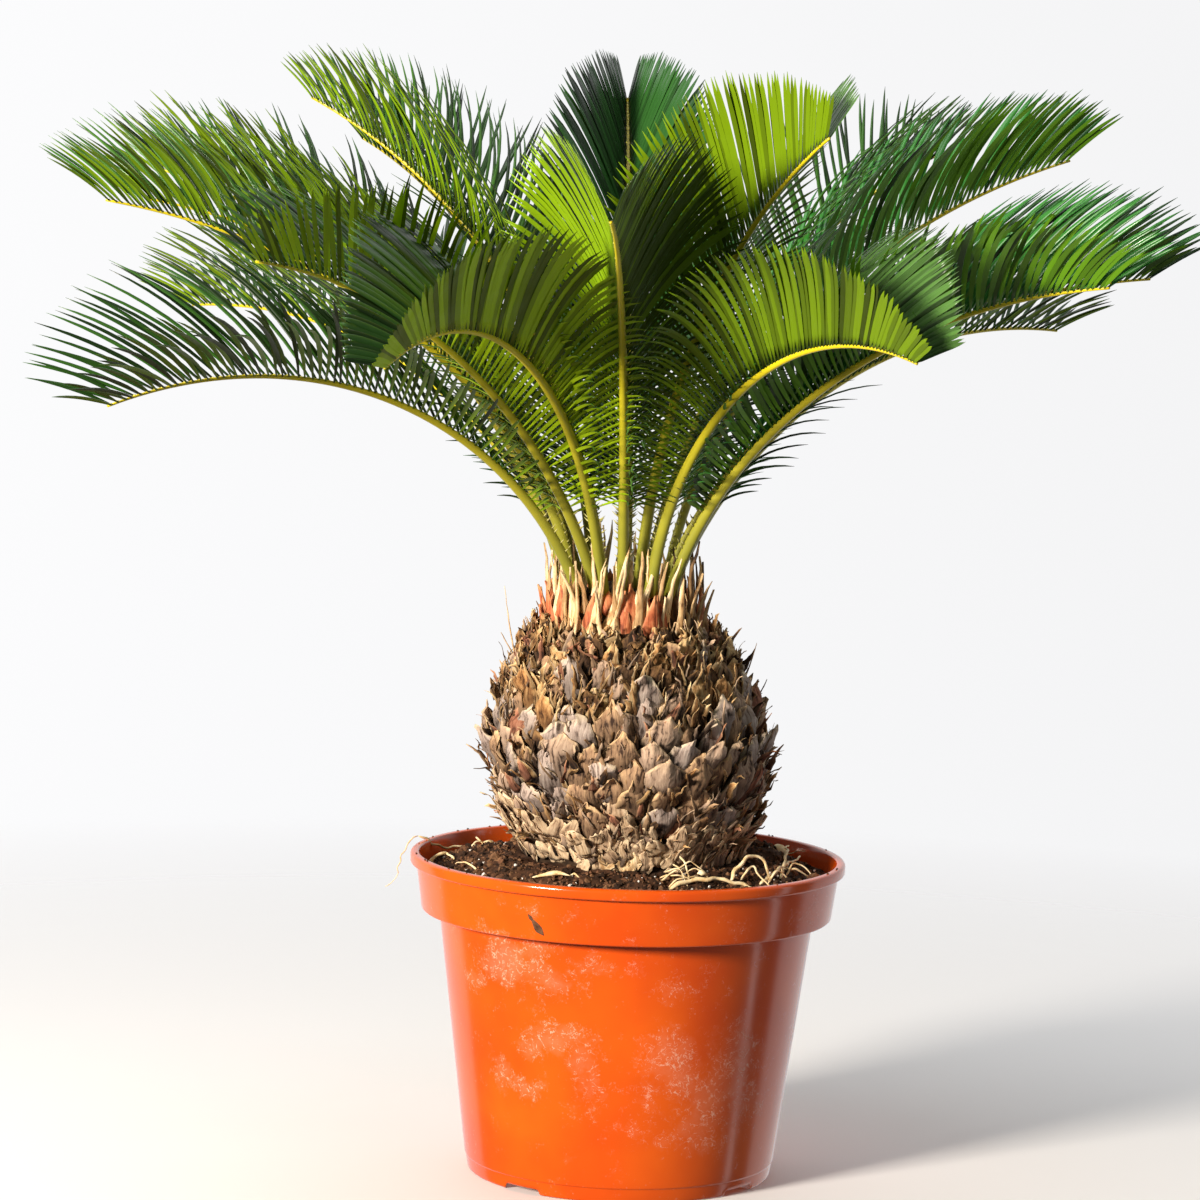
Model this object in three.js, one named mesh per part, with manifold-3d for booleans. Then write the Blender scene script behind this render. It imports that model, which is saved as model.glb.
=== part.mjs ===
// Sago palm (Cycas revoluta) growing in a moulded plastic nursery pot.
// Millimetres, +Z up. The origin is the centre of the pot's flat underside, and the front is -Y.

import * as THREE from "three";
import { mergeVertices } from "three/addons/utils/BufferGeometryUtils.js";
import Module from "manifold-3d";

const wasm = await Module();
wasm.setup();

// ---------------------------------------------------------------- driving dimensions

const GAP = 0.3; // clearance between pieces that touch

// The pot: a tapered body, a rolled lip and a wider band under the lip.
const POT_HEIGHT = 205;
const RIM_RADIUS = 140;
const FOOT_RADIUS = 98;
const BODY_TOP_RADIUS = 120.5; // body, just under the band
const BAND_LOW = 168.5; // height of the band's lower edge
const BAND_LOW_RADIUS = 131.8;
const BAND_TOP_RADIUS = 135.8;
const LIP_HEIGHT = 7.5;
const WALL = 2.6;
const FLOOR = 5;
const POT_SIDES = 56;
const NOTCH = { count: 4, first: 231, width: 26, height: 3.8, depth: 13 }; // drain slots in the foot's edge

// The soil fills the pot and rises to the trunk.
const SOIL_EDGE_HEIGHT = 193.5;
const GROUND = 204.5; // height of the soil under the trunk
const GROUND_RADIUS = 79;
const SOIL_SIDES = 40;

// The trunk (caudex): [height, radius, how far its centre lies along X], from the flat cut to the crown.
const TRUNK_PROFILE = [
  [GROUND + GAP, 71, 2.8],
  [215, 75, 0.9],
  [230, 83.5, -0.6],
  [250, 89, -1.2],
  [270, 92, -2.2],
  [290, 88, -3.6],
  [310, 81.5, -5.2],
  [330, 73.5, -5.8],
  [345, 64, -6.3],
  [357, 54, -6.7],
];
const CROWN = new THREE.Vector3(-7, 0, 375.7); // middle of the flat top that the fronds stand on
const CROWN_RADIUS = 45;
const SCALES_AROUND = 20; // leaf-base scales in one ring
const TRUNK_ROWS = 18;
const SCALE_OUT = 3.6; // how far a scale's tip stands out
const SCALE_IN = 3.2; // depth of the joint between scales
const SCALE_LIFT = 2.6; // how far a scale's tip points up

// Old leaf bases stand round the crown as flat spikes.
const SPIKE = { count: 30, ring: 50, foot: 346, width: 9, thickness: 4.4, sides: 4 };
const SPIKE_LENGTHS = [46, 58, 40, 52, 62]; // taken in turn
const SPIKE_LEANS = [10, 16, 7, 20, 12]; // degrees outwards, taken in turn

// A frond's midrib: half its width at the crown and at the tip.
const RIB_BASE = 4.1;
const RIB_TIP = 0.9;
const RIB_DEPTH = 1.35; // depth, as a share of the half width
const RIB_UNDER = 0.7; // width of the underside, as a share of the top's
const PETIOLE = 0.15; // share of the midrib that is bare stalk
const PETIOLE_STEPS = 3;

// Leaflets: one coarse leaflet stands for about three real ones.
const LEAFLETS = 17; // on each side of a midrib
const LEAFLET_LENGTH = 115;
const LEAFLET_FILL = 0.62; // width half way out, as a share of the space that it has
const LEAFLET_THICKNESS = 1.5;
const LEAFLET_STEPS = 6; // steps in working out a leaflet's curve
const SHORTER = [1, 0.8, 0.6, 0.42]; // a leaflet that would touch its neighbours is shortened, or left out

// How leaflets change from the crown (0) to the tip (1) of a midrib, in degrees.
const ALONG = [0.1, 0.3, 0.6, 0.85, 1.0];
const SPREAD = [80, 70, 60, 52, 38]; // angle between leaflet and midrib
const KEEL = [20, 38, 50, 58, 62]; // rise of the two rows, which make a V
const CURL = [75, 60, 35, 18, 8]; // how far a leaflet's end bends down and back
const FALCATE = 10; // how far it bends towards the frond's tip
const SIZE_ALONG = [0.12, 0.2, 0.35, 0.55, 0.72, 0.88, 1.0];
const SIZE_SHORT = [0.22, 0.42, 0.74, 1.0, 0.9, 0.62, 0.34]; // leaflet length, on fronds that close early
const SIZE_LONG = [0.22, 0.42, 0.74, 1.0, 0.97, 0.82, 0.58]; // and on fronds that are broad to the tip

// Fronds: azimuth from +X towards +Y, length, elevation at the crown and at the tip,
// how the bend is spread (1 is even, less is earlier), radius of the ring they stand on,
// roll about the midrib, and how broad the tip is (0 to 1).
const FRONDS = [
  { azimuth: 217, length: 400, rise: 67, tip: -19, bend: 0.8, ring: 36, roll: -12, broad: 1 },
  { azimuth: 199, length: 415, rise: 88, tip: 8, bend: 0.6, ring: 34, roll: -8, broad: 1 },
  { azimuth: 245, length: 385, rise: 78, tip: -25, bend: 1, ring: 34, roll: -5, broad: 0.2 },
  { azimuth: 184, length: 395, rise: 76, tip: 8, bend: 0.9, ring: 25, roll: 0, broad: 0.6 },
  { azimuth: 229, length: 388, rise: 66, tip: 5, bend: 0.9, ring: 26, roll: 0, broad: 0.2 },
  { azimuth: 161, length: 390, rise: 88, tip: 25, bend: 1, ring: 21, roll: 0, broad: 0 },
  { azimuth: 267, length: 390, rise: 75, tip: 5, bend: 1, ring: 31, roll: 0, broad: 0 },
  { azimuth: 92, length: 382, rise: 76, tip: 40, bend: 1, ring: 18, roll: 0, broad: 0 },
  { azimuth: 295, length: 390, rise: 84, tip: 22, bend: 0.85, ring: 19, roll: 0, broad: 0 },
  { azimuth: 297, length: 390, rise: 84, tip: -12, bend: 0.7, ring: 34, roll: 8, broad: 0.4 },
  { azimuth: 329, length: 410, rise: 80, tip: 5, bend: 0.6, ring: 28, roll: 10, broad: 0.6 },
  { azimuth: 316, length: 415, rise: 76, tip: 5, bend: 0.6, ring: 38, roll: 12, broad: 0.8 },
  { azimuth: 5, length: 400, rise: 86, tip: 18, bend: 0.8, ring: 24, roll: 0, broad: 0.6 },
  { azimuth: 40, length: 395, rise: 82, tip: 20, bend: 0.9, ring: 20, roll: 0, broad: 0.3 },
  { azimuth: 134, length: 395, rise: 82, tip: 20, bend: 0.9, ring: 24, roll: 0, broad: 0.3 },
  { azimuth: 172, length: 395, rise: 75, tip: 15, bend: 0.9, ring: 36, roll: 0, broad: 0.6 },
  { azimuth: 65, length: 400, rise: 70, tip: 0, bend: 0.8, ring: 32, roll: 0, broad: 0.6 },
  { azimuth: 115, length: 400, rise: 70, tip: 0, bend: 0.8, ring: 32, roll: 0, broad: 0.6 },
  { azimuth: 90, length: 400, rise: 66, tip: -8, bend: 0.8, ring: 36, roll: 0, broad: 0.6 },
  { azimuth: 144, length: 400, rise: 66, tip: -5, bend: 0.8, ring: 37, roll: 0, broad: 0.6 },
  { azimuth: 38, length: 400, rise: 66, tip: -5, bend: 0.8, ring: 36, roll: 0, broad: 0.6 },
];

// ---------------------------------------------------------------- materials

const plastic = new THREE.MeshStandardMaterial({ color: 0xe5601c, roughness: 0.32, metalness: 0 });
const soilMix = new THREE.MeshStandardMaterial({ color: 0x3a2a1e, roughness: 0.95, metalness: 0 });
const bark = new THREE.MeshStandardMaterial({ color: 0x7a6350, roughness: 0.9, metalness: 0 });
const leaf = new THREE.MeshStandardMaterial({ color: 0x5f8a1c, roughness: 0.5, metalness: 0 });

// ---------------------------------------------------------------- helpers

const radians = THREE.MathUtils.degToRad;

/** Straight-line interpolation in a small table: ys over xs, held at both ends. */
function between(x, xs, ys) {
  if (x <= xs[0]) return ys[0];
  for (let i = 1; i < xs.length; i++) {
    if (x <= xs[i]) {
      const share = (x - xs[i - 1]) / (xs[i] - xs[i - 1]);
      return THREE.MathUtils.lerp(ys[i - 1], ys[i], share);
    }
  }
  return ys[ys.length - 1];
}

/** A point, moved by any number of [vector, amount] pairs. */
function reach(from, ...steps) {
  const point = from.clone();
  for (const [vector, amount] of steps) {
    point.addScaledVector(vector, amount);
  }
  return point;
}

/** Makes a manifold solid of a closed three.js geometry. */
function toSolid(geometry) {
  const bare = geometry.clone();
  bare.deleteAttribute("normal");
  bare.deleteAttribute("uv");
  const merged = mergeVertices(bare, 1e-3);
  const index = merged.index.array;
  const triangles = [];
  for (let i = 0; i < index.length; i += 3) {
    const [a, b, c] = [index[i], index[i + 1], index[i + 2]];
    if (a !== b && b !== c && c !== a) triangles.push(a, b, c);
  }
  return solidOf(merged.attributes.position.array, triangles);
}

/** Makes a manifold solid of flat arrays of coordinates and triangle corners. */
function solidOf(coordinates, triangles) {
  return new wasm.Manifold(
    new wasm.Mesh({
      numProp: 3,
      vertProperties: new Float32Array(coordinates),
      triVerts: new Uint32Array(triangles),
    }),
  );
}

/** Makes a three.js geometry of a manifold solid. */
function toGeometry(solid) {
  const mesh = solid.getMesh();
  const geometry = new THREE.BufferGeometry();
  geometry.setAttribute("position", new THREE.BufferAttribute(new Float32Array(mesh.vertProperties), 3));
  geometry.setIndex(new THREE.BufferAttribute(new Uint32Array(mesh.triVerts), 1));
  geometry.computeVertexNormals();
  return geometry;
}

/** Turns a profile of [radius, height] points about the Z axis. Its ends lie on the axis. */
function turned(profile, sides) {
  const points = profile.map(([radius, height]) => new THREE.Vector2(radius, height));
  return new THREE.LatheGeometry(points, sides).rotateX(Math.PI / 2);
}

/** Points, triangles and the solid made of them, for pieces that are built corner by corner. */
class Shell {
  constructor() {
    this.points = [];
    this.triangles = [];
  }

  add(point) {
    this.points.push(point.x, point.y, point.z);
    return this.points.length / 3 - 1;
  }

  /** A face of three or more corners, given anticlockwise as seen from outside. */
  face(...corners) {
    for (let i = 2; i < corners.length; i++) {
      this.triangles.push(corners[0], corners[i - 1], corners[i]);
    }
  }

  /** Walls from a loop of corners to another loop of as many, where corners may repeat. */
  walls(loop, next) {
    for (let i = 0; i < loop.length; i++) {
      const j = (i + 1) % loop.length;
      if (next[i] === next[j]) this.face(loop[i], loop[j], next[i]);
      else this.face(loop[i], loop[j], next[j], next[i]);
    }
  }

  solid() {
    return solidOf(this.points, this.triangles);
  }

  geometry() {
    const geometry = new THREE.BufferGeometry();
    geometry.setAttribute("position", new THREE.Float32BufferAttribute(this.points, 3));
    geometry.setIndex(this.triangles);
    geometry.computeVertexNormals();
    return geometry;
  }
}

// ---------------------------------------------------------------- pot and soil

/** The outer wall's radius at a height, below the band. */
function bodyRadius(height) {
  return THREE.MathUtils.mapLinear(height, 0, BAND_LOW, FOOT_RADIUS, BODY_TOP_RADIUS);
}

function potGeometry() {
  const lipLow = POT_HEIGHT - LIP_HEIGHT;
  const outside = [
    [0, 0],
    [FOOT_RADIUS - 4, 0],
    [FOOT_RADIUS - 1.1, 1.2],
    [bodyRadius(4), 4],
    [bodyRadius(9), 9],
    [bodyRadius(9) + 0.7, 10],
    [bodyRadius(BAND_LOW) - 0.2, BAND_LOW - 1.5],
    [BAND_LOW_RADIUS - 1.4, BAND_LOW],
    [BAND_LOW_RADIUS, BAND_LOW + 1.4],
    [BAND_TOP_RADIUS, lipLow],
    [RIM_RADIUS - 1, lipLow + 0.8],
    [RIM_RADIUS, lipLow + 3.4],
    [RIM_RADIUS - 0.8, POT_HEIGHT - 1.2],
    [RIM_RADIUS - 3, POT_HEIGHT],
  ];
  const inside = [
    [BAND_TOP_RADIUS - WALL + 1.4, POT_HEIGHT - 1],
    [BAND_TOP_RADIUS - WALL, lipLow + 2],
    [BAND_LOW_RADIUS - WALL, BAND_LOW + WALL],
    [bodyRadius(BAND_LOW) - WALL, BAND_LOW - 2],
    [bodyRadius(FLOOR) - WALL, FLOOR],
    [0, FLOOR],
  ];
  let pot = toSolid(turned([...outside, ...inside], POT_SIDES));
  for (let i = 0; i < NOTCH.count; i++) {
    const slot = new THREE.BoxGeometry(2 * NOTCH.depth, NOTCH.width, 2 * NOTCH.height);
    slot.translate(FOOT_RADIUS, 0, 0);
    slot.rotateZ(radians(NOTCH.first + (360 / NOTCH.count) * i));
    pot = pot.subtract(toSolid(slot));
  }
  return toGeometry(pot);
}

function soilGeometry() {
  const wall = WALL + GAP + 0.2; // the pot's facets cut inside its true circle
  const profile = [
    [0, FLOOR + GAP],
    [bodyRadius(FLOOR) - wall - 0.3, FLOOR + GAP],
    [bodyRadius(BAND_LOW) - wall - 0.3, BAND_LOW - 2],
    [BAND_LOW_RADIUS - wall - 0.5, BAND_LOW + WALL + 0.3],
    [BAND_TOP_RADIUS - wall - 0.9, SOIL_EDGE_HEIGHT - 1.5],
    [BAND_TOP_RADIUS - wall - 5, SOIL_EDGE_HEIGHT],
    [106, SOIL_EDGE_HEIGHT + 3.5],
    [90, GROUND - 2.2],
    [GROUND_RADIUS, GROUND],
    [0, GROUND],
  ];
  return turned(profile, SOIL_SIDES);
}

// ---------------------------------------------------------------- trunk

/** Radius and centre of the trunk at a height. */
function trunkAt(height) {
  const heights = TRUNK_PROFILE.map((row) => row[0]);
  const radius = between(height, heights, TRUNK_PROFILE.map((row) => row[1]));
  const shift = between(height, heights, TRUNK_PROFILE.map((row) => row[2]));
  return { radius, shift };
}

/** Faces between two rings, creased so that each corner that stands out is the peak of a diamond. */
function scaleFaces(shell, lower, upper, row) {
  for (let i = 0; i < lower.length; i++) {
    const j = (i + 1) % lower.length;
    const [a, b, c, d] = [lower[i], lower[j], upper[j], upper[i]];
    if ((i + row) % 2 === 0) {
      shell.face(a, b, d);
      shell.face(b, c, d);
    } else {
      shell.face(a, b, c, d);
    }
  }
}

/** The trunk's body: rings of corners that stand out and in by turns, as overlapping scales do. */
function trunkBody() {
  const shell = new Shell();
  const corners = 2 * SCALES_AROUND;
  const foot = TRUNK_PROFILE[0][0];
  const top = TRUNK_PROFILE[TRUNK_PROFILE.length - 1][0];
  const rings = [];
  for (let row = 0; row <= TRUNK_ROWS; row++) {
    const height = THREE.MathUtils.lerp(foot, top, row / TRUNK_ROWS);
    const { radius, shift } = trunkAt(height);
    const plain = row === 0 || row === TRUNK_ROWS;
    const ring = [];
    for (let i = 0; i < corners; i++) {
      const angle = (2 * Math.PI * i) / corners;
      const tip = (i + row) % 2 === 0;
      const r = radius + (plain ? 0 : tip ? SCALE_OUT : -SCALE_IN);
      const lift = plain || !tip ? 0 : SCALE_LIFT;
      const point = new THREE.Vector3(shift + r * Math.cos(angle), r * Math.sin(angle), height + lift);
      ring.push(shell.add(point));
    }
    rings.push(ring);
  }
  const rim = [];
  for (let i = 0; i < corners; i++) {
    const angle = (2 * Math.PI * i) / corners;
    const edge = new THREE.Vector3(Math.cos(angle), Math.sin(angle), 0);
    rim.push(shell.add(reach(CROWN, [edge, CROWN_RADIUS])));
  }
  rings.push(rim);
  for (let row = 1; row < rings.length; row++) {
    scaleFaces(shell, rings[row - 1], rings[row], row - 1);
  }
  shell.face(...[...rings[0]].reverse());
  shell.face(...rim);
  return shell.solid();
}

/** One old leaf base: a flat four-sided spike that leans outwards. */
function spike(number) {
  const length = SPIKE_LENGTHS[number % SPIKE_LENGTHS.length];
  const lean = radians(SPIKE_LEANS[number % SPIKE_LEANS.length]);
  const turn = radians((360 / SPIKE.count) * number);
  const cone = new THREE.ConeGeometry(1, length, SPIKE.sides);
  cone.rotateX(Math.PI / 2).translate(0, 0, length / 2);
  cone.scale(SPIKE.thickness / 2, SPIKE.width / 2, 1);
  cone.rotateY(lean).translate(SPIKE.ring, 0, SPIKE.foot);
  cone.rotateZ(turn).translate(CROWN.x, CROWN.y, 0);
  return toSolid(cone);
}

function trunkGeometry() {
  let trunk = trunkBody();
  for (let number = 0; number < SPIKE.count; number++) {
    trunk = trunk.add(spike(number));
  }
  return toGeometry(trunk);
}

// ---------------------------------------------------------------- fronds

/** Elevation of the midrib, in radians, at a share s of its length. */
function elevation(frond, s) {
  return radians(frond.rise + (frond.tip - frond.rise) * Math.pow(Math.max(s, 1e-4), frond.bend));
}

/** Where the midrib is at s, with the directions along it, up from it and to its left. */
function midrib(frond, s) {
  const turn = radians(frond.azimuth);
  const outward = new THREE.Vector3(Math.cos(turn), Math.sin(turn), 0);
  const vertical = new THREE.Vector3(0, 0, 1);
  const steps = Math.max(1, Math.round(60 * s));
  const place = reach(CROWN, [outward, frond.ring], [vertical, GAP]);
  for (let i = 0; i < steps; i++) {
    const angle = elevation(frond, (s * (i + 0.5)) / steps);
    const step = (frond.length * s) / steps;
    place.addScaledVector(outward, Math.cos(angle) * step);
    place.addScaledVector(vertical, Math.sin(angle) * step);
  }
  const angle = elevation(frond, s);
  const along = reach(new THREE.Vector3(), [outward, Math.cos(angle)], [vertical, Math.sin(angle)]);
  const level = new THREE.Vector3().crossVectors(vertical, outward);
  const square = new THREE.Vector3().crossVectors(along, level);
  const roll = radians(frond.roll);
  const left = reach(new THREE.Vector3(), [level, Math.cos(roll)], [square, Math.sin(roll)]);
  const up = new THREE.Vector3().crossVectors(along, left);
  return { place, along, left, up, level, square };
}

/** Half the midrib's width at s. */
function ribHalf(s) {
  return RIB_TIP + (RIB_BASE - RIB_TIP) * Math.pow(1 - s, 1.1);
}

/** Length of the leaflets at s. */
function leafletLength(frond, s) {
  const narrow = between(s, SIZE_ALONG, SIZE_SHORT);
  const wide = between(s, SIZE_ALONG, SIZE_LONG);
  return LEAFLET_LENGTH * THREE.MathUtils.lerp(narrow, wide, frond.broad);
}

/**
 * The curve of a leaflet that leaves the midrib at s. side is 1 on the left and -1 on the right.
 * It starts out at the row's spread and keel, and bends towards its back, slowly and then faster.
 */
function leafletCurve(frond, s, side, length) {
  const { place, along, left, up } = midrib(frond, s);
  const spread = radians(between(s, ALONG, SPREAD));
  const keel = radians(between(s, ALONG, KEEL));
  const curl = radians(between(s, ALONG, CURL));
  const out = reach(new THREE.Vector3(), [left, side * Math.cos(keel)], [up, Math.sin(keel)]);
  const start = reach(new THREE.Vector3(), [along, Math.cos(spread)], [out, Math.sin(spread)]);
  const back = reach(new THREE.Vector3(), [up, -Math.cos(keel)], [left, side * Math.sin(keel)]);
  const across = new THREE.Vector3().crossVectors(back, start).multiplyScalar(side).normalize();
  const points = [place.clone()];
  for (let i = 0; i < LEAFLET_STEPS; i++) {
    const t = (i + 0.5) / LEAFLET_STEPS;
    const bend = curl * Math.pow(t, 1.6);
    const hook = radians(FALCATE) * t;
    const step = reach(new THREE.Vector3(), [start, Math.cos(bend)], [back, Math.sin(bend)]);
    step.multiplyScalar(Math.cos(hook)).addScaledVector(along, Math.sin(hook)).normalize();
    place.addScaledVector(step, length / LEAFLET_STEPS);
    points.push(place.clone());
  }
  return { points, back, across };
}

/** The midrib's corners at s: top left, top right, bottom right, bottom left. extra makes it fatter. */
function ribCorners(frond, s, extra = 0) {
  const { place, along, level, square } = midrib(frond, s);
  const half = ribHalf(s) + extra;
  const under = half * RIB_UNDER;
  const depth = -half * RIB_DEPTH;
  const corners = [
    reach(place, [level, half]),
    reach(place, [level, -half]),
    reach(place, [level, -under], [square, depth]),
    reach(place, [level, under], [square, depth]),
  ];
  if (s > 0) return corners;
  const floor = CROWN.z + GAP - extra;
  return corners.map((corner) => reach(corner, [along, (floor - corner.z) / along.z]));
}

/** The shares of a midrib's length where it has corners: a few on the stalk, one between leaflets. */
function stations() {
  const list = [];
  for (let i = 0; i < PETIOLE_STEPS; i++) {
    list.push((PETIOLE * i) / PETIOLE_STEPS);
  }
  for (let i = 0; i <= LEAFLETS; i++) {
    list.push(PETIOLE + ((1 - PETIOLE) * i) / LEAFLETS);
  }
  return list;
}

/** Adds the half-way section and the tip of a leaflet to a shell, fatter by extra. */
function leafletCorners(shell, frond, from, to, side, share, extra = 0) {
  const s = (from + to) / 2;
  const { points, back, across } = leafletCurve(frond, s, side, leafletLength(frond, s) * share);
  const space = (to - from) * frond.length * Math.sin(radians(between(s, ALONG, SPREAD)));
  const half = (space * LEAFLET_FILL) / 2 + extra;
  const middle = points[LEAFLET_STEPS / 2];
  return {
    rear: shell.add(reach(middle, [across, -half], [back, -extra])),
    fore: shell.add(reach(middle, [across, half], [back, -extra])),
    keel: shell.add(reach(middle, [back, LEAFLET_THICKNESS + extra])),
    end: shell.add(points[LEAFLET_STEPS]),
  };
}

/** The four corners of the midrib's side between the stations a and b, anticlockwise from outside. */
function sideLoop(a, b, side) {
  return side > 0 ? [a[0], b[0], b[3], a[3]] : [a[1], a[2], b[2], b[1]];
}

/** Closes a leaflet over the side of the midrib between two stations. */
function leafletFaces(shell, corner, a, b, side) {
  const { rear, fore, keel, end } = corner;
  const middle = side > 0 ? [rear, fore, keel, keel] : [rear, keel, keel, fore];
  const tip = side > 0 ? [rear, fore, keel] : [rear, keel, fore];
  shell.walls(sideLoop(a, b, side), middle);
  tip.forEach((point, i) => shell.face(point, tip[(i + 1) % tip.length], end));
}

/** A leaflet on its own as a closed solid, for testing what it would touch. */
function leafletProbe(frond, from, to, side, share, extra) {
  const shell = new Shell();
  const a = ribCorners(frond, from).map((corner) => shell.add(corner));
  const b = ribCorners(frond, to).map((corner) => shell.add(corner));
  leafletFaces(shell, leafletCorners(shell, frond, from, to, side, share, extra), a, b, side);
  shell.face(...sideLoop(a, b, side).reverse());
  return boxed(shell);
}

/** A shell's solid with its bounding box. */
function boxed(shell) {
  const box = new THREE.Box3().setFromArray(shell.points);
  return { box, solid: shell.solid() };
}

/** True where two boxed solids share some space. */
function touching(one, other) {
  if (!one.box.intersectsBox(other.box)) return false;
  return one.solid.intersect(other.solid).getMesh().triVerts.length > 0;
}

/** The bare midrib with both ends closed. skip says which side faces are left for leaflets. */
function ribShell(frond, extra, skip) {
  const shell = new Shell();
  const rings = stations().map((s) => ribCorners(frond, s, extra).map((corner) => shell.add(corner)));
  for (let i = 1; i < rings.length; i++) {
    const [a, b] = [rings[i - 1], rings[i]];
    shell.face(a[0], a[1], b[1], b[0]);
    shell.face(a[2], a[3], b[3], b[2]);
    if (!skip(i, 1)) shell.face(...sideLoop(a, b, 1));
    if (!skip(i, -1)) shell.face(...sideLoop(a, b, -1));
  }
  shell.face(...[...rings[0]].reverse());
  shell.face(...rings[rings.length - 1]);
  return { shell, rings };
}

/** Chooses every frond's leaflets: the share of its length that each one keeps, 0 where it is left out. */
function chooseLeaflets() {
  const list = stations();
  const taken = FRONDS.map((frond) => [boxed(ribShell(frond, GAP, () => false).shell)]);
  return FRONDS.map((frond, number) => {
    const kept = new Map();
    for (let i = PETIOLE_STEPS + 1; i < list.length; i++) {
      for (const side of [1, -1]) {
        for (const share of SHORTER) {
          const probe = leafletProbe(frond, list[i - 1], list[i], side, share, GAP);
          const free = taken.every((own, n) => n === number || !own.some((piece) => touching(probe, piece)));
          if (!free) continue;
          kept.set(`${i},${side}`, share);
          taken[number].push(leafletProbe(frond, list[i - 1], list[i], side, share, 0));
          break;
        }
      }
    }
    return kept;
  });
}

/** One frond: its midrib with a blade on each side that is cut to the rib between the leaflets. */
function frondGeometry(frond, kept) {
  const list = stations();
  const { shell, rings } = ribShell(frond, 0, (i, side) => kept.has(`${i},${side}`));
  for (const [key, share] of kept) {
    const [i, side] = key.split(",").map(Number);
    const corner = leafletCorners(shell, frond, list[i - 1], list[i], side, share);
    leafletFaces(shell, corner, rings[i - 1], rings[i], side);
  }
  return shell.geometry();
}

// ---------------------------------------------------------------- assembly

function piece(name, geometry, material) {
  const mesh = new THREE.Mesh(geometry, material);
  mesh.name = name;
  return mesh;
}

const palm = new THREE.Group();
palm.add(piece("pot", potGeometry(), plastic));
palm.add(piece("soil", toGeometry(toSolid(soilGeometry())), soilMix));
palm.add(piece("trunk", trunkGeometry(), bark));
chooseLeaflets().forEach((kept, number) => {
  const name = `frond_${String(number + 1).padStart(2, "0")}`;
  palm.add(piece(name, frondGeometry(FRONDS[number], kept), leaf));
});

export default palm;
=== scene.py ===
# %% [markdown]
# # A sago palm in a nursery pot
#
# A sago palm is a cycad: a stout trunk, armoured with the bases of old leaves, carries one crown of
# stiff fronds with more than a hundred narrow leaflets each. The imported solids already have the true
# sizes. Each piece below repeats their rules, in millimetres, and carries them to finer detail, so
# that nothing has to be fitted afterwards.

import bmesh
import bpy
import numpy as np
from mathutils import Matrix, Vector


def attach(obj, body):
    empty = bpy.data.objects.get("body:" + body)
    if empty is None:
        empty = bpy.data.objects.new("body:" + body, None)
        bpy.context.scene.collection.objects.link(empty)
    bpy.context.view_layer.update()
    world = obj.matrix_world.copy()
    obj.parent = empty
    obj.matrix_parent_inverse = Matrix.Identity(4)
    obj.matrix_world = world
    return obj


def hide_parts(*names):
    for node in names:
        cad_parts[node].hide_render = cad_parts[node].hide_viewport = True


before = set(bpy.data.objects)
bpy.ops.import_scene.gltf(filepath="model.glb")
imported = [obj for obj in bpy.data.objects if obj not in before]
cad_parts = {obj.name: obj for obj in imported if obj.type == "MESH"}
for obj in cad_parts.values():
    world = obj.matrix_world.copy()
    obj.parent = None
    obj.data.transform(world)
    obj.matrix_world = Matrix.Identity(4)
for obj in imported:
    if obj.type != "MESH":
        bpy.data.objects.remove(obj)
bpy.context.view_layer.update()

# %% [markdown]
# ## Helpers for shape
#
# Plants are rough at every size, so most surfaces get some smooth noise. A leaflet, a bark scale, a
# spine and a root have one thing in common: each is a small profile carried along a path. One
# function makes them all, for thousands of paths at once.

# %% Chance and smooth noise
LATTICE = 32  # random numbers along each side of the lattice, which then repeats


def chances(draw, count):
    """Two ways to draw a value for each of `count` things: evenly between a least and a most, and
    round a mean with a usual difference from it."""
    return (lambda least, most: draw.uniform(least, most, count),
            lambda mean, usual: draw.normal(mean, usual, count))


def eased(t):
    """t * t * (3 - 2 * t), which leaves 0 and reaches 1 gently."""
    return t * t * (3 - 2 * t)


def noise(places, cell, seed):
    """Smooth noise from -1 to 1. Random numbers stand on a lattice of cubes `cell` wide, and the
    eight round a place are blended with eased weights along each axis."""
    lattice = np.random.default_rng(seed).uniform(-1, 1, (LATTICE,) * 3)
    scaled = np.asarray(places) / cell
    low = np.floor(scaled).astype(int)
    t = eased(scaled - low)
    total = 0
    for corner in np.ndindex(2, 2, 2):
        weight = np.prod(np.where(corner, t, 1 - t), axis=-1)
        x, y, z = np.moveaxis((low + corner) % LATTICE, -1, 0)
        total = total + weight * lattice[x, y, z]
    return total


print("noise at three places:", noise(np.eye(3) * 7, 5, seed=1).round(2))


# %% Carry profiles along paths
UP, LEVEL = np.array([0, 0, 1.0]), np.array([1.0, 1, 0])


def full_turn(count):
    """The angles of `count` places evenly round a circle, in radians."""
    return np.arange(count) * 2 * np.pi / count


def spokes(turn):
    """Level unit vectors (cos a, sin a, 0), like the spokes of a wheel."""
    return np.stack([np.cos(turn), np.sin(turn), np.zeros_like(turn)], axis=-1)


def unit(vectors):
    """Each vector divided by its own length."""
    return vectors / np.maximum(np.linalg.norm(vectors, axis=-1, keepdims=True), 1e-12)


def tilted(first, second, angle):
    """The first direction turned by `angle` towards the second: first cos(a) + second sin(a)."""
    return first * np.cos(angle) + second * np.sin(angle)


def walked(feet, steps):
    """Paths that start at the feet and go on by the sum of their steps."""
    return feet[:, None] + np.cumsum(np.concatenate([0 * steps[:, :1], steps], axis=1), axis=1)


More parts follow.
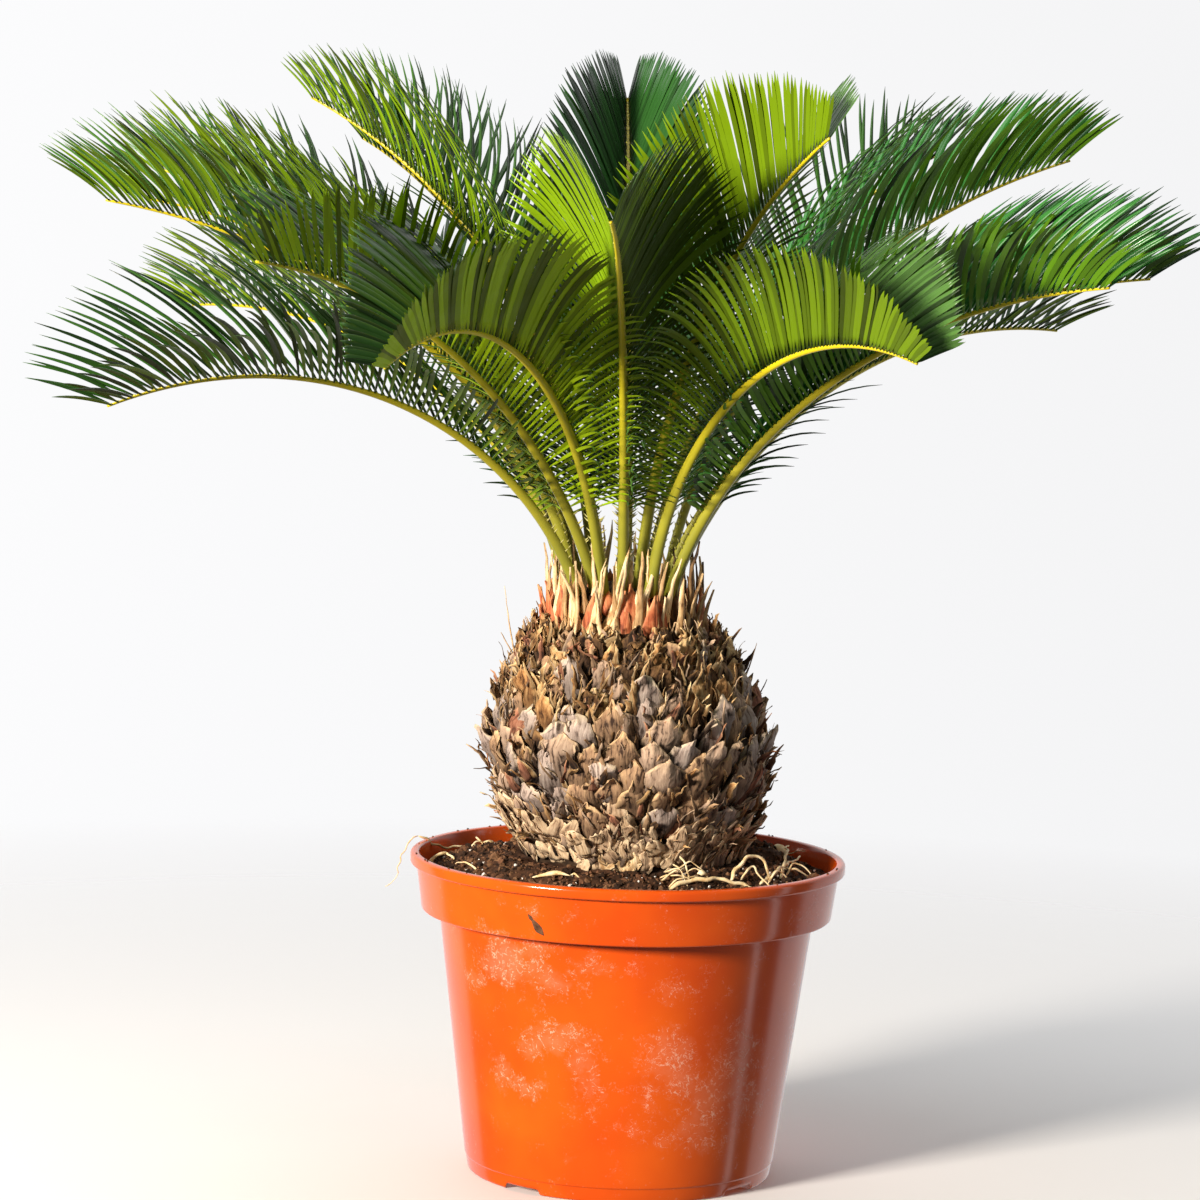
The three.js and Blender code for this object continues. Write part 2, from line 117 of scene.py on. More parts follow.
def sweep(paths, upward, sections):
    """Closed bars. At each place of each path stands a ring of points, place + side * x + up * y,
    where side is upward x along, and up is along x side. The rings run from side towards up.
    paths is (bars, stations, 3) and sections (bars, stations, corners, 2).
    Gives the points, the walls as (bars, stations - 1, corners, 4) and the two end caps."""
    along = unit(np.gradient(paths, axis=1))
    side = unit(np.cross(upward, along))
    up = np.cross(along, side)
    x, y = sections[..., :1], sections[..., 1:]
    points = paths[:, :, None] + side[:, :, None] * x + up[:, :, None] * y
    number = np.arange(points[..., 0].size).reshape(points.shape[:3])
    after = np.roll(number, -1, axis=2)
    walls = np.stack([number[:, :-1], after[:, :-1], after[:, 1:], number[:, 1:]], axis=-1)
    caps = np.concatenate([number[:, 0, ::-1], number[:, -1]])
    return points, walls, caps


print("four spokes:", spokes(full_turn(4)).round(2).tolist())


# %% Turn profiles about the upright axis
def rounded(corners, steps=6):
    """A profile with its corners rounded. Each corner is [radius, height, rounding] and becomes the
    curve (1-t)^2 A + 2t(1-t) C + t^2 B, where A and B lie `rounding` before and after corner C."""
    place, size = corners[1:-1, :2], corners[1:-1, 2:]
    before = place + unit(corners[:-2, :2] - place) * size
    after = place + unit(corners[2:, :2] - place) * size
    t = np.linspace(0, 1, steps)[None, :, None]
    curves = (1 - t) ** 2 * before[:, None] + 2 * t * (1 - t) * place[:, None] + t**2 * after[:, None]
    line = np.concatenate([corners[:1, :2], curves.reshape(-1, 2), corners[-1:, :2]])
    fresh = np.linalg.norm(np.diff(line, axis=0), axis=1) > 1e-6
    return line[np.concatenate([[True], fresh])]


def refined(profile, spacing):
    """The same line with extra points, so that no step is longer than `spacing`."""
    arc = np.concatenate([[0], np.cumsum(np.linalg.norm(np.diff(profile, axis=0), axis=1))])
    gaps = np.ceil(np.diff(arc) / spacing).astype(int)
    finer = np.concatenate([np.linspace(a, b, n, endpoint=False) for a, b, n in zip(arc, arc[1:], gaps)])
    finer = np.append(finer, arc[-1])
    return np.stack([np.interp(finer, arc, profile[:, 0]), np.interp(finer, arc, profile[:, 1])], axis=1)


def turned(profile, columns):
    """A closed surface of revolution: every [radius, height] becomes a ring of points
    (radius cos a, radius sin a, height). The first and the last lie on the axis, as poles.
    The profile starts below, and runs out, up and in again."""
    circle = spokes(full_turn(columns))
    rows = profile[1:-1, :1, None] * circle + profile[1:-1, 1:, None] * UP
    poles = profile[[0, -1], 1:] * UP
    number = np.arange(rows[..., 0].size).reshape(rows.shape[:2])
    after = np.roll(number, -1, axis=1)
    walls = np.stack([number[:-1], after[:-1], after[1:], number[1:]], axis=-1)
    low, high = np.full(columns, number.size), np.full(columns, number.size + 1)
    fans = [np.stack([low, after[0], number[0]], 1), np.stack([high, number[-1], after[-1]], 1)]
    return rows, poles, walls, np.concatenate(fans)


corner = np.array([[0, 0, 0], [10, 0, 2], [10, 5, 0]])
print("a corner rounded by 2 mm:", rounded(corner, steps=3).round(1).tolist())


# %% [markdown]
# ## From arrays to a piece
#
# Thousands of small shapes become one mesh. Arrays of points and faces are gathered in a heap, and
# the heap is written into the mesh in one go. Every face carries the number of its material, and
# points can carry values that a material reads, such as how far out on a scale they lie.

# %% Gather shapes and make them one piece
MM = 0.001  # all shapes are worked out in millimetres


class Heap:
    """Points, faces and notes about the points, all waiting to become one mesh."""

    def __init__(self):
        self.points, self.faces, self.kinds, self.notes, self.count = [], [], [], {}, 0

    def add(self, points, *faces, **notes):
        """Adds points, (corner numbers, material numbers) pairs, and notes at the points."""
        shape = np.shape(points)[:-1]
        for corners, kind in faces:
            self.faces.append(np.reshape(corners, (-1, np.shape(corners)[-1])) + self.count)
            self.kinds.append(np.broadcast_to(kind, np.shape(corners)[:-1]).ravel())
        for name, value in notes.items():
            value = np.asarray(value, float)
            whole = np.broadcast_to(value, shape + ((3,) if value.shape[-1:] == (3,) else ()))
            self.notes.setdefault(name, []).append(whole.reshape((-1,) + whole.shape[len(shape):]))
        self.points.append(np.reshape(points, (-1, 3)))
        self.count += len(self.points[-1])

    def add_bars(self, kind, points, walls, caps, **notes):
        """Adds what `sweep` gives. `kind` is a number, or one for each bar."""
        kind = np.broadcast_to(kind, len(points))
        self.add(points, (walls, kind[:, None, None]), (caps, np.tile(kind, 2)), **notes)

    def add_turned(self, rows, poles, walls, fans, **notes):
        """Adds what `turned` gives, in the first material."""
        self.add(np.concatenate([rows.reshape(-1, 3), poles]), (walls, 0), (fans, 0), **notes)


def make(name, heap, materials, replaces=(), smooth=True):
    """Writes a heap into a mesh whose object sits at the origin, and rides it on the root body.
    An edge with the note "margin" at both ends is a sharp one."""
    sizes = np.concatenate([np.full(len(f), f.shape[1]) for f in heap.faces])
    corners = np.concatenate([f.ravel() for f in heap.faces])
    mesh = bpy.data.meshes.new(name)
    mesh.vertices.add(heap.count)
    mesh.loops.add(len(corners))
    mesh.polygons.add(len(sizes))
    mesh.vertices.foreach_set("co", (np.concatenate(heap.points) * MM).ravel())
    mesh.loops.foreach_set("vertex_index", corners)
    mesh.polygons.foreach_set("loop_start", np.cumsum(sizes) - sizes)
    mesh.polygons.foreach_set("material_index", np.concatenate(heap.kinds))
    mesh.polygons.foreach_set("use_smooth", np.full(len(sizes), smooth))
    mesh.update(calc_edges=True)
    for key, parts in heap.notes.items():
        values = np.concatenate(parts)
        flat = values.ndim == 1
        note = mesh.attributes.new(key, "FLOAT" if flat else "FLOAT_VECTOR", "POINT")
        note.data.foreach_set("value" if flat else "vector", values.ravel())
    if "margin" in heap.notes:
        ends = np.empty(len(mesh.edges) * 2, np.int32)
        mesh.edges.foreach_get("vertices", ends)
        at_margin = np.concatenate(heap.notes["margin"])[ends].reshape(-1, 2) > 0.5
        mesh.edges.foreach_set("use_edge_sharp", at_margin.all(axis=1))
    for material in materials:
        mesh.materials.append(material)
    piece = bpy.data.objects.new(name, mesh)
    bpy.context.scene.collection.objects.link(piece)
    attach(piece, "root")
    if replaces:
        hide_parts(*replaces)
    print(f"{name}: {len(sizes)} faces, {int((sizes - 2).sum())} triangles")


# %% [markdown]
# ## Helpers for finish
#
# A colour is written as it looks on a screen, and Blender works in linear light, so one function
# converts it. Patterns are sized by what they are: a pattern of spots 3 mm apart has the scale
# 1000 / 3, because Object coordinates are metres.

# %% Colours, nodes and materials
def linear(shade):
    """An sRGB hex value as linear RGBA: c / 12.92 below 0.04045, else ((c + 0.055) / 1.055)^2.4."""
    c = np.array([int(shade[i : i + 2], 16) for i in (1, 3, 5)]) / 255
    return (*np.where(c <= 0.04045, c / 12.92, ((c + 0.055) / 1.055) ** 2.4), 1.0)


def per(mm):
    """The scale of a pattern whose features are that many millimetres apart."""
    return 1000 / mm


def node(tree, kind, settings=None, stops=None, **inputs):
    """Adds one shader node. An input is named, or numbered as in_3, and gets a value or a link.
    stops are a colour ramp's (position, shade) pairs, where a shade is a hex value or a number."""
    made = tree.nodes.new("ShaderNode" + kind)
    for key, value in (settings or {}).items():
        setattr(made, key, value)
    for key, value in inputs.items():
        socket = made.inputs[int(key[3:]) if key.startswith("in_") else key.replace("_", " ")]
        if isinstance(value, bpy.types.NodeSocket):
            tree.links.new(value, socket)
        else:
            socket.default_value = value
    for i, (position, shade) in enumerate(stops or ()):
        ramp = made.color_ramp.elements
        stop = ramp[i] if i < 2 else ramp.new(position)
        stop.position = position
        stop.color = linear(shade) if isinstance(shade, str) else (shade, shade, shade, 1)
    return made


def material(name, roughness, ior=1.45, **sockets):
    """A new material with one Principled shader. Gives the material, its tree and the shader."""
    made = bpy.data.materials.new(name)
    made.use_nodes = True
    tree = made.node_tree
    shader = tree.nodes["Principled BSDF"]
    shader.inputs["Roughness"].default_value = roughness
    shader.inputs["IOR"].default_value = ior
    for key, value in sockets.items():
        shader.inputs[key.replace("_", " ")].default_value = value
    return made, tree, shader


def place_of(tree):
    """The Object coordinates, in metres."""
    return node(tree, "TexCoord").outputs["Object"]


def note(tree, name, output="Fac"):
    """A value that the mesh carries at its points."""
    return node(tree, "Attribute", {"attribute_name": name}).outputs[output]


def cloud(tree, at, mm, detail, roughness=0.5, settings=None, **more):
    """Noise from 0 to 1 at the places `at`, with its spots that many millimetres apart."""
    return node(tree, "TexNoise", settings, Vector=at, Scale=per(mm), Detail=detail, Roughness=roughness,
                **more).outputs["Fac"]


def maths(tree, operation, *values, **settings):
    """The result of one operation on values or links."""
    inputs = {f"in_{i}": value for i, value in enumerate(values)}
    return node(tree, "Math", {"operation": operation, **settings}, **inputs).outputs[0]


def remap(tree, value, low, high, to_low=0.0, to_high=1.0):
    """Carries low to to_low and high to to_high, evenly between them and no further."""
    return node(tree, "MapRange", Value=value, From_Min=low, From_Max=high, To_Min=to_low,
                To_Max=to_high).outputs[0]


def ramp(tree, value, *stops):
    """The colour of a colour ramp at a value."""
    return node(tree, "ValToRGB", stops=stops, in_0=value).outputs["Color"]


def mixed(tree, share, first, second):
    """All of the first colour at share 0, all of the second at 1."""
    return node(tree, "Mix", {"data_type": "RGBA"}, in_0=share, in_6=first, in_7=second).outputs[2]


def dressed(made, tree, shader, colour, height, depth_mm, strength):
    """Gives a material its colour, and lets a height pattern from 0 to 1 tilt the surface, as if it
    were depth_mm deep."""
    bump = node(tree, "Bump", Strength=strength, Distance=depth_mm * MM, Height=height)
    tree.links.new(bump.outputs["Normal"], shader.inputs["Normal"])
    tree.links.new(colour, shader.inputs["Base Color"])
    return made


print("orange in linear light:", np.round(linear("#E0601F"), 3))

# %% [markdown]
# ## The pot
#
# The pot is injection moulded polypropylene: a tapered wall, a wide band below the rim, and a foot
# with four slots that let water out. Turning a profile gives that shape. Moulded edges are never
# sharp, so every corner of the profile has its own small rounding. The slots are made by lifting the
# points of the foot within them.

# %% Pot sizes
POT_HEIGHT, RIM_RADIUS, FOOT_RADIUS, BODY_TOP_RADIUS = 205, 140, 98, 120.5
BAND_LOW, BAND_LOW_RADIUS, BAND_TOP_RADIUS, LIP_HEIGHT = 168.5, 131.8, 135.8, 7.5
WALL, FLOOR, GAP = 2.6, 5, 0.3
SLOT_FIRST, SLOT_COUNT, SLOT_WIDTH, SLOT_HEIGHT, SLOT_DEPTH = 231, 4, 26, 3.8, 13
POT_COLUMNS = 320
LIP_LOW = POT_HEIGHT - LIP_HEIGHT


def body_radius(height):
    """The wall's outer radius below the band, which grows evenly from the foot to the band."""
    return FOOT_RADIUS + (BODY_TOP_RADIUS - FOOT_RADIUS) * height / BAND_LOW


POT_PROFILE = np.array([
    [0, 0, 0],
    [FOOT_RADIUS - SLOT_DEPTH, 0, 0],
    [FOOT_RADIUS - 0.4, 0, 1.6],
    [body_radius(9.2), 9.2, 0.4],
    [body_radius(9.9) + 0.5, 9.9, 0.5],
    [body_radius(BAND_LOW), BAND_LOW, 1.8],
    [BAND_LOW_RADIUS, BAND_LOW, 1.3],
    [BAND_TOP_RADIUS, LIP_LOW, 0.9],
    [RIM_RADIUS - 0.2, LIP_LOW + 0.5, 1.3],
    [RIM_RADIUS, POT_HEIGHT, 2.6],
    [BAND_TOP_RADIUS - WALL + 1.2, POT_HEIGHT, 1.2],
    [BAND_TOP_RADIUS - WALL, LIP_LOW, 1.5],
    [BAND_LOW_RADIUS - WALL, BAND_LOW + WALL, 1.5],
    [body_radius(BAND_LOW) - WALL, BAND_LOW - 2, 1.5],
    [body_radius(FLOOR) - WALL, FLOOR, 1.5],
    [0, FLOOR, 0],
])
print("pot:", POT_HEIGHT, "mm high and", 2 * RIM_RADIUS, "mm wide, with", len(POT_PROFILE), "corners")

# %% [markdown]
# Hard water leaves chalky films on a pot. They lie in patches, so the mesh carries a note of how much
# lime there is at each point, and the material breaks that up into curls, specks and haze.

# %% Pot shape and where the lime lies
# Each patch: degrees from the front towards the right, height, half its width and height, strength.
LIME_PATCHES = np.array([
    [-36, 152, 26, 16, 1.0], [-22, 141, 20, 10, 0.75], [-53, 131, 9, 9, 0.7], [-10, 147, 18, 9, 0.45],
    [-24, 102, 24, 10, 0.75], [-14, 92, 12, 14, 0.6], [-46, 77, 12, 10, 0.75], [-34, 71, 14, 6, 0.7],
    [-12, 72, 10, 14, 0.6], [20, 138, 30, 7, 0.4], [18, 88, 24, 26, 0.75], [30, 70, 22, 24, 0.8],
    [42, 88, 18, 22, 0.9], [26, 45, 24, 13, 0.6], [49, 54, 13, 13, 0.7], [2, 50, 14, 12, 0.35],
    [9, 183, 16, 8, 0.3], [30, 179, 18, 7, 0.35], [60, 186, 20, 9, 0.5], [-30, 186, 10, 7, 0.35],
])
LIME_SEED, LIME_AT_BACK = 11, 16


def lime_at(points):
    """How much lime there is: the largest of strength * exp(-(dx / w)^2 - (dz / h)^2) over the
    patches, where dx runs round the pot and dz runs up it. Noise moves each place by up to 13 mm
    first, which frays the patches. Seeded patches go on round the back."""
    even, _ = chances(np.random.default_rng(LIME_SEED), LIME_AT_BACK)
    back = np.stack([even(75, 285), even(25, 160), even(9, 28), even(7, 24), even(0.35, 0.9)], axis=1)
    front_angle = np.degrees(np.arctan2(points[..., 0], -points[..., 1]))
    front_angle = front_angle + 4 * noise(points, 19, 12) + 3 * noise(points, 8, 13)
    level = points[..., 2] + 8 * noise(points, 17, 14) + 5 * noise(points, 8, 15)
    radius = np.hypot(points[..., 0], points[..., 1])
    amount = np.zeros(radius.shape)
    for angle, height, width, tall, strength in np.concatenate([LIME_PATCHES, back]):
        turn = np.radians((front_angle - angle + 180) % 360 - 180) * radius
        spot = strength * np.exp(-((turn / width) ** 2) - ((level - height) / tall) ** 2)
        amount = np.maximum(amount, spot)
    return amount


rows, poles, walls, fans = turned(refined(rounded(POT_PROFILE), spacing=3.5), POT_COLUMNS)
azimuth = np.degrees(np.arctan2(rows[..., 1], rows[..., 0]))
period = 360 / SLOT_COUNT
off_middle = np.abs((azimuth - SLOT_FIRST + period / 2) % period - period / 2)
inside_slot = np.clip(SLOT_WIDTH / 2 - np.radians(off_middle) * FOOT_RADIUS + 1, 0, 1)
at_foot = np.hypot(rows[..., 0], rows[..., 1]) > FOOT_RADIUS - SLOT_DEPTH + 1
low = at_foot & (rows[..., 2] < SLOT_HEIGHT)
rows[..., 2] += np.where(low, inside_slot * (SLOT_HEIGHT - rows[..., 2]), 0)
outer_side = np.hypot(rows[..., 0], rows[..., 1]) > body_radius(rows[..., 2]) - 1
pot = Heap()
pot.add_turned(rows, poles, walls, fans, lime=np.append((lime_at(rows) * outer_side).ravel(), [0, 0]))
print("pot rings:", len(rows), "most lime:", lime_at(rows).max().round(2))


# %% Moulded polypropylene
# Polypropylene takes a satin gloss from its mould (IOR 1.49). Its pigment is even, and what the eye
# reads as age is a web of pale scuffs about a millimetre wide, which are also duller.
def moulded_polypropylene():
    made, tree, shader = material("moulded polypropylene, orange", 0.26, ior=1.49)
    at, lime = place_of(tree), note(tree, "lime")
    pigment = ramp(tree, cloud(tree, at, 70, detail=3), (0.35, "#D34B0B"), (0.65, "#E25C0F"))
    blots = cloud(tree, at, 15, detail=8, roughness=0.75)
    edge = maths(tree, "MULTIPLY_ADD", lime, 0.5, blots)
    threads = 0.0
    for size, thin, seed in ((13, 0.010, 0.3), (8, 0.013, 0.7)):
        curls = cloud(tree, at, size, detail=3, roughness=0.6, settings={"noise_dimensions": "4D"},
                      W=seed, Distortion=1.2)
        off = maths(tree, "ABSOLUTE", maths(tree, "SUBTRACT", curls, 0.5))
        threads = maths(tree, "MAXIMUM", remap(tree, off, thin, 0.0), threads)
    left = remap(tree, cloud(tree, at, 3.5, detail=1), 0.44, 0.54, 0.0, 0.66)
    cover, haze = remap(tree, edge, 0.56, 0.76), remap(tree, edge, 0.6, 1.0, 0.0, 0.12)
    chalk = maths(tree, "MULTIPLY_ADD", cover, maths(tree, "MULTIPLY", threads, left), haze)
    specks = node(tree, "TexVoronoi", Vector=at, Scale=per(4.2), Randomness=1.0).outputs["Distance"]
    dots, rare = remap(tree, specks, 0.17, 0.08), remap(tree, blots, 0.5, 0.6, 0.0, 0.8)
    dust = maths(tree, "MULTIPLY", maths(tree, "MULTIPLY", dots, rare), remap(tree, lime, 0.0, 1.0, 0.15))
    both = maths(tree, "MAXIMUM", chalk, dust, use_clamp=True)
    tree.links.new(remap(tree, both, 0.0, 1.0, 0.16, 0.6), shader.inputs["Roughness"])
    chalky = mixed(tree, both, pigment, linear("#F7CDB4"))
    return dressed(made, tree, shader, chalky, both, depth_mm=0.12, strength=0.5)


make("pot_shell", pot, [moulded_polypropylene()], ["pot"])

# %% [markdown]
# ## The potting mix
#
# Potting mix is peat and bark fines: dark crumbs of every size up to about 8 mm, with white grains of
# perlite that keep it airy. The bed is a turned surface with noise in its height. The crumbs are
# small knobbly solids of 20 faces each, pressed into it, and they are flat shaded, because a crumb
# has facets and no gloss.

# %% Soil bed
GROUND, GROUND_RADIUS, SOIL_EDGE = 204.5, 79, 193.5
SOIL_TOP = np.array([[0, GROUND], [GROUND_RADIUS, GROUND], [90, 202.3], [106, 197], [127.6, SOIL_EDGE],
                     [133, 192.5]])
# Heaps against the trunk: x, y, width and height.
SOIL_HEAPS = [(90, 34, 16, 9), (84, 62, 14, 7), (-96, 30, 12, 5), (-20, 100, 20, 6)]
# Its roughness: the height, size and seed of each noise, and the radius where it fades and how fast.
SOIL_NOISES = [(2.2, 12, 21), (1.5, 5, 22), (0.9, 2.4, 23)]
CALM_RADIUS, CALM_OVER = 131, 4


def mound(x, y):
    """Height of the mix by its radius alone."""
    return np.interp(np.hypot(x, y), *SOIL_TOP.T)


def soil_height(x, y):
    """Height of the mix: the mound, a few heaps tall * exp(-(distance / wide)^2), and noise, which
    fades towards the wall of the pot."""
    heaps = sum(tall * np.exp(-((x - at_x) ** 2 + (y - at_y) ** 2) / wide**2)
                for at_x, at_y, wide, tall in SOIL_HEAPS)
    flat = np.stack([x, y, np.zeros_like(x)], axis=-1)
    rough = sum(high * noise(flat, cell, seed) for high, cell, seed in SOIL_NOISES)
    return mound(x, y) + heaps + rough * np.clip((CALM_RADIUS - np.hypot(x, y)) / CALM_OVER, 0.2, 1)


inner = BAND_TOP_RADIUS - WALL - GAP - 0.5
below = np.array([[0, FLOOR + GAP], [body_radius(FLOOR) - WALL - GAP - 0.5, FLOOR + GAP],
                  [body_radius(BAND_LOW) - WALL - GAP - 0.5, BAND_LOW - 2],
                  [BAND_LOW_RADIUS - WALL - GAP - 0.5, BAND_LOW + WALL + GAP], [inner - 0.5, 190]])
above = refined(np.array([[inner - 0.3, 192.3], [60, GROUND]]), spacing=1.7)
rows, poles, walls, fans = turned(np.concatenate([below, above, [[0, GROUND]]]), columns=288)
top = rows[..., 2] > 192
rows[..., 2] = np.where(top, soil_height(rows[..., 0], rows[..., 1]), rows[..., 2])
soil = Heap()
soil.add_turned(rows, poles, walls, fans)
print("soil bed from", rows[..., 2][top].min().round(1), "to", rows[..., 2][top].max().round(1), "mm high")


# %% Crumbs and perlite
def lump():
    """The corners and faces of a solid with 20 triangles, one unit in radius."""
    shape = bmesh.new()
    bmesh.ops.create_icosphere(shape, subdivisions=1, radius=1)
    corners = np.array([v.co for v in shape.verts])
    faces = np.array([[v.index for v in f.verts] for f in shape.faces])
    shape.free()
    return corners, faces


LUMP_CORNERS, LUMP_FACES = lump()


def turns(count, draw):
    """Random rotation matrices, from unit quaternions (w, x, y, z)."""
    w, x, y, z = unit(draw.normal(size=(count, 4))).T
    rows = [[1 - 2 * (y * y + z * z), 2 * (x * y - w * z), 2 * (x * z + w * y)],
            [2 * (x * y + w * z), 1 - 2 * (x * x + z * z), 2 * (y * z - w * x)],
            [2 * (x * z - w * y), 2 * (y * z + w * x), 1 - 2 * (x * x + y * y)]]
    return np.moveaxis(np.array(rows), -1, 0)


def lumps(places, sizes, draw, knobbly=0.25):
    """Knobbly solids: the lump's corners moved in or out by chance, stretched by the three half
    sizes, turned at random and set at the places."""
    count = len(places)
    corners = LUMP_CORNERS * (1 + draw.uniform(-knobbly, knobbly, (count, len(LUMP_CORNERS), 1)))
    points = np.einsum("nij,nkj->nki", turns(count, draw), corners * sizes[:, None]) + places[:, None]
    return points, LUMP_FACES + np.arange(count)[:, None, None] * len(LUMP_CORNERS)


def on_soil(count, draw, nearest, furthest, sink):
    """Places spread evenly over the ring of soil between two radii, sunk by `sink`."""
    even, _ = chances(draw, count)
    radius, turn = np.sqrt(even(nearest**2, furthest**2)), even(0, 2 * np.pi)
    x, y = radius * np.cos(turn), radius * np.sin(turn)
    return np.stack([x, y, soil_height(x, y) - sink], axis=1)


CRUMB_SIZES = ((3900, 0.5, 1.2), (1600, 1.1, 2.1), (130, 2.1, 3.8))  # count, least and most half size
ON_RIM, LIP_RADIUS, PERLITES = 26, 137, 130
draw = np.random.default_rng(24)
crumbs, perlite = Heap(), Heap()
for count, small, large in CRUMB_SIZES:
    size = draw.uniform(small, large, (count, 1)) * draw.uniform(0.5, 1.35, (count, 3))
    middle = on_soil(count, draw, nearest=74, furthest=128 - large, sink=size.mean(axis=1) * 0.15)
    points, faces = lumps(middle, size, draw, knobbly=0.42)
    crumbs.add(points, (faces, draw.integers(0, 3, (count, 1))))
middle = LIP_RADIUS * spokes(draw.uniform(0, 2 * np.pi, ON_RIM)) + (POT_HEIGHT + 0.2) * UP
points, faces = lumps(middle, draw.uniform(0.4, 0.9, (ON_RIM, 3)), draw)
crumbs.add(points, (faces, draw.integers(0, 3, (ON_RIM, 1))))
size = draw.uniform(0.5, 1.3, (PERLITES, 1)) * draw.uniform(0.7, 1.2, (PERLITES, 3))
points, faces = lumps(on_soil(PERLITES, draw, nearest=80, furthest=126, sink=-0.4), size, draw)
perlite.add(points, (faces, 0))
print(sum(count for count, *_ in CRUMB_SIZES), "crumbs on the mix,", ON_RIM, "on the rim")

# %% A flake of bark stuck to the pot's band
FLAKE_HALF = np.array([0.3, 1.3, 0.9, 1.7, 2.5, 2.7, 1.6, 0.2])[:, None]  # half its width, from the top
FLAKE_DEEP = 0.3
turn = np.radians(np.linspace(-27.2, -22.8, len(FLAKE_HALF)))
height = np.linspace(185, 172.5, len(FLAKE_HALF))
radius = np.interp(height, [BAND_LOW, LIP_LOW], [BAND_LOW_RADIUS, BAND_TOP_RADIUS]) + 0.1
flake = np.stack([radius * np.sin(turn), -radius * np.cos(turn), height], axis=1)[None]
circle = np.arange(6) * np.pi / 3
section = [FLAKE_HALF * np.cos(circle), FLAKE_DEEP * np.sin(circle) + 0 * FLAKE_HALF]
crumbs.add_bars(1, *sweep(flake, flake * LEVEL, np.stack(section, axis=-1)[None]))
print("flake", height.max() - height.min(), "mm high, up to", 2 * FLAKE_HALF.max(), "mm wide")


# %% Peat, bark fines and expanded perlite
# Peat is almost black and quite dull. Perlite is volcanic glass blown into a white foam, so it
# shows as chalky grains.
def crumbly(name, dark, pale, mm):
    made, tree, shader = material(name, 0.95, Specular_IOR_Level=0.25)
    grain = cloud(tree, place_of(tree), mm, detail=6, roughness=0.7)
    colour = ramp(tree, grain, (0.3, dark), (0.72, pale))
    return dressed(made, tree, shader, colour, grain, depth_mm=0.8, strength=0.8)


peat = crumbly("potting mix, damp peat", "#1C110A", "#553825", 4)
PEATS = [crumbly(f"peat crumb, {word}", *shades, 3) for word, shades in {
    "black": ("#150D08", "#3C2A1E"), "brown": ("#38241A", "#7E573D"), "bark": ("#463020", "#8E6849")}.items()]
make("soil_bed", soil, [peat], ["soil"])
make("soil_crumbs", crumbs, PEATS, smooth=False)
make("soil_perlite", perlite, [crumbly("expanded perlite", "#CFC8BD", "#F4F1EA", 1.5)], smooth=False)

# %% [markdown]
# ## Roots
#
# A pot-bound cycad pushes pale roots out of the mix. Each is a round rod that tapers and wavers, so a
# few waypoints are joined by a smooth curve and a ring of eight points is carried along it. The
# waypoints say how far a root lies above the mix.

# %% Root paths
# Thickness, then waypoints as x, y and height above the mix.
ROOTS = [
    (3.2, [(25, -96, 0), (38, -88, 3), (50, -83, 5), (63, -79, 5), (77, -77, 2.5), (86, -80, 0)]),
    (2.4, [(64, -72, 0), (70, -62, 9), (77, -54, 15), (85, -50, 12), (89, -50, 5), (92, -52, 0)]),
    (2.2, [(84, -60, 0), (93, -40, 4), (103, -8, 6), (112, 25, 8)]),
    (1.8, [(94, -12, 1), (106, -22, 5), (119, -16, 1)]),
    (1.8, [(96, -40, 0), (101, -10, 9), (104, 24, 14)]),
    (1.5, [(70, -66, 0), (78, -58, 10), (83, -60, 6), (90, -64, 0)]),
    (1.4, [(88, -56, 0), (94, -48, 7), (101, -44, 4), (108, -46, 0)]),
    (1.2, [(100, -30, 2), (106, -18, 8), (116, -20, 5), (121, -28, 1)]),
    (1.2, [(20, -82, 1), (33, -85, 4), (48, -78, 1)]),
    (1.2, [(32, -78, 14), (36, -82, 8), (40, -88, 0)]),
    (1.2, [(20, -88, 0), (29, -84, 6), (38, -80, 11), (45, -78, 6)]),
    (1.1, [(25, -93, 0), (34, -89, 5), (43, -82, 4)]),
    (1.0, [(50, -78, 1), (41, -81, 8), (32, -83, 3)]),
    (0.9, [(28, -82, 10), (34, -84, 5), (44, -86, 1)]),
    (0.9, [(24, -84, 5), (32, -86, 8), (38, -90, 0)]),
    (1.2, [(-36, -78, 1), (-33, -84, 3), (-28, -89, 0)]),
    (1.7, [(-136, 32, 14.6), (-129, 38, 10), (-121, 46, 6), (-112, 55, 4), (-103, 61, 3), (-95, 60, 1)]),
    (2.2, [(-128, 10, 1), (-122, 15, 5), (-117, 17, 5), (-111, 8, 0)]),
    (1.2, [(-101, 66, 8), (-97, 62, 5), (-93, 60, 3), (-86, 64, 1)]),
    (1.2, [(-105, 50, 1), (-98, 58, 6), (-92, 66, 3)]),
    (0.9, [(-136, 32, 14.6), (-141, 27, 12), (-146, 20, 6), (-149, 16, -2), (-148, 14, -7), (-152, 12, -12),
           (-156, 11, -14)]),
    (1.1, [(60, 95, 0), (84, 82, 5), (104, 70, 3), (118, 62, 9)]),
    (1.4, [(-60, 88, 0), (-40, 99, 5), (-20, 104, 3), (0, 108, 0)]),
    (1.0, [(20, 92, 3), (34, 98, 7), (50, 96, 1)]),
    (1.2, [(-96, -40, 0), (-104, -24, 4), (-112, -12, 1)]),
]


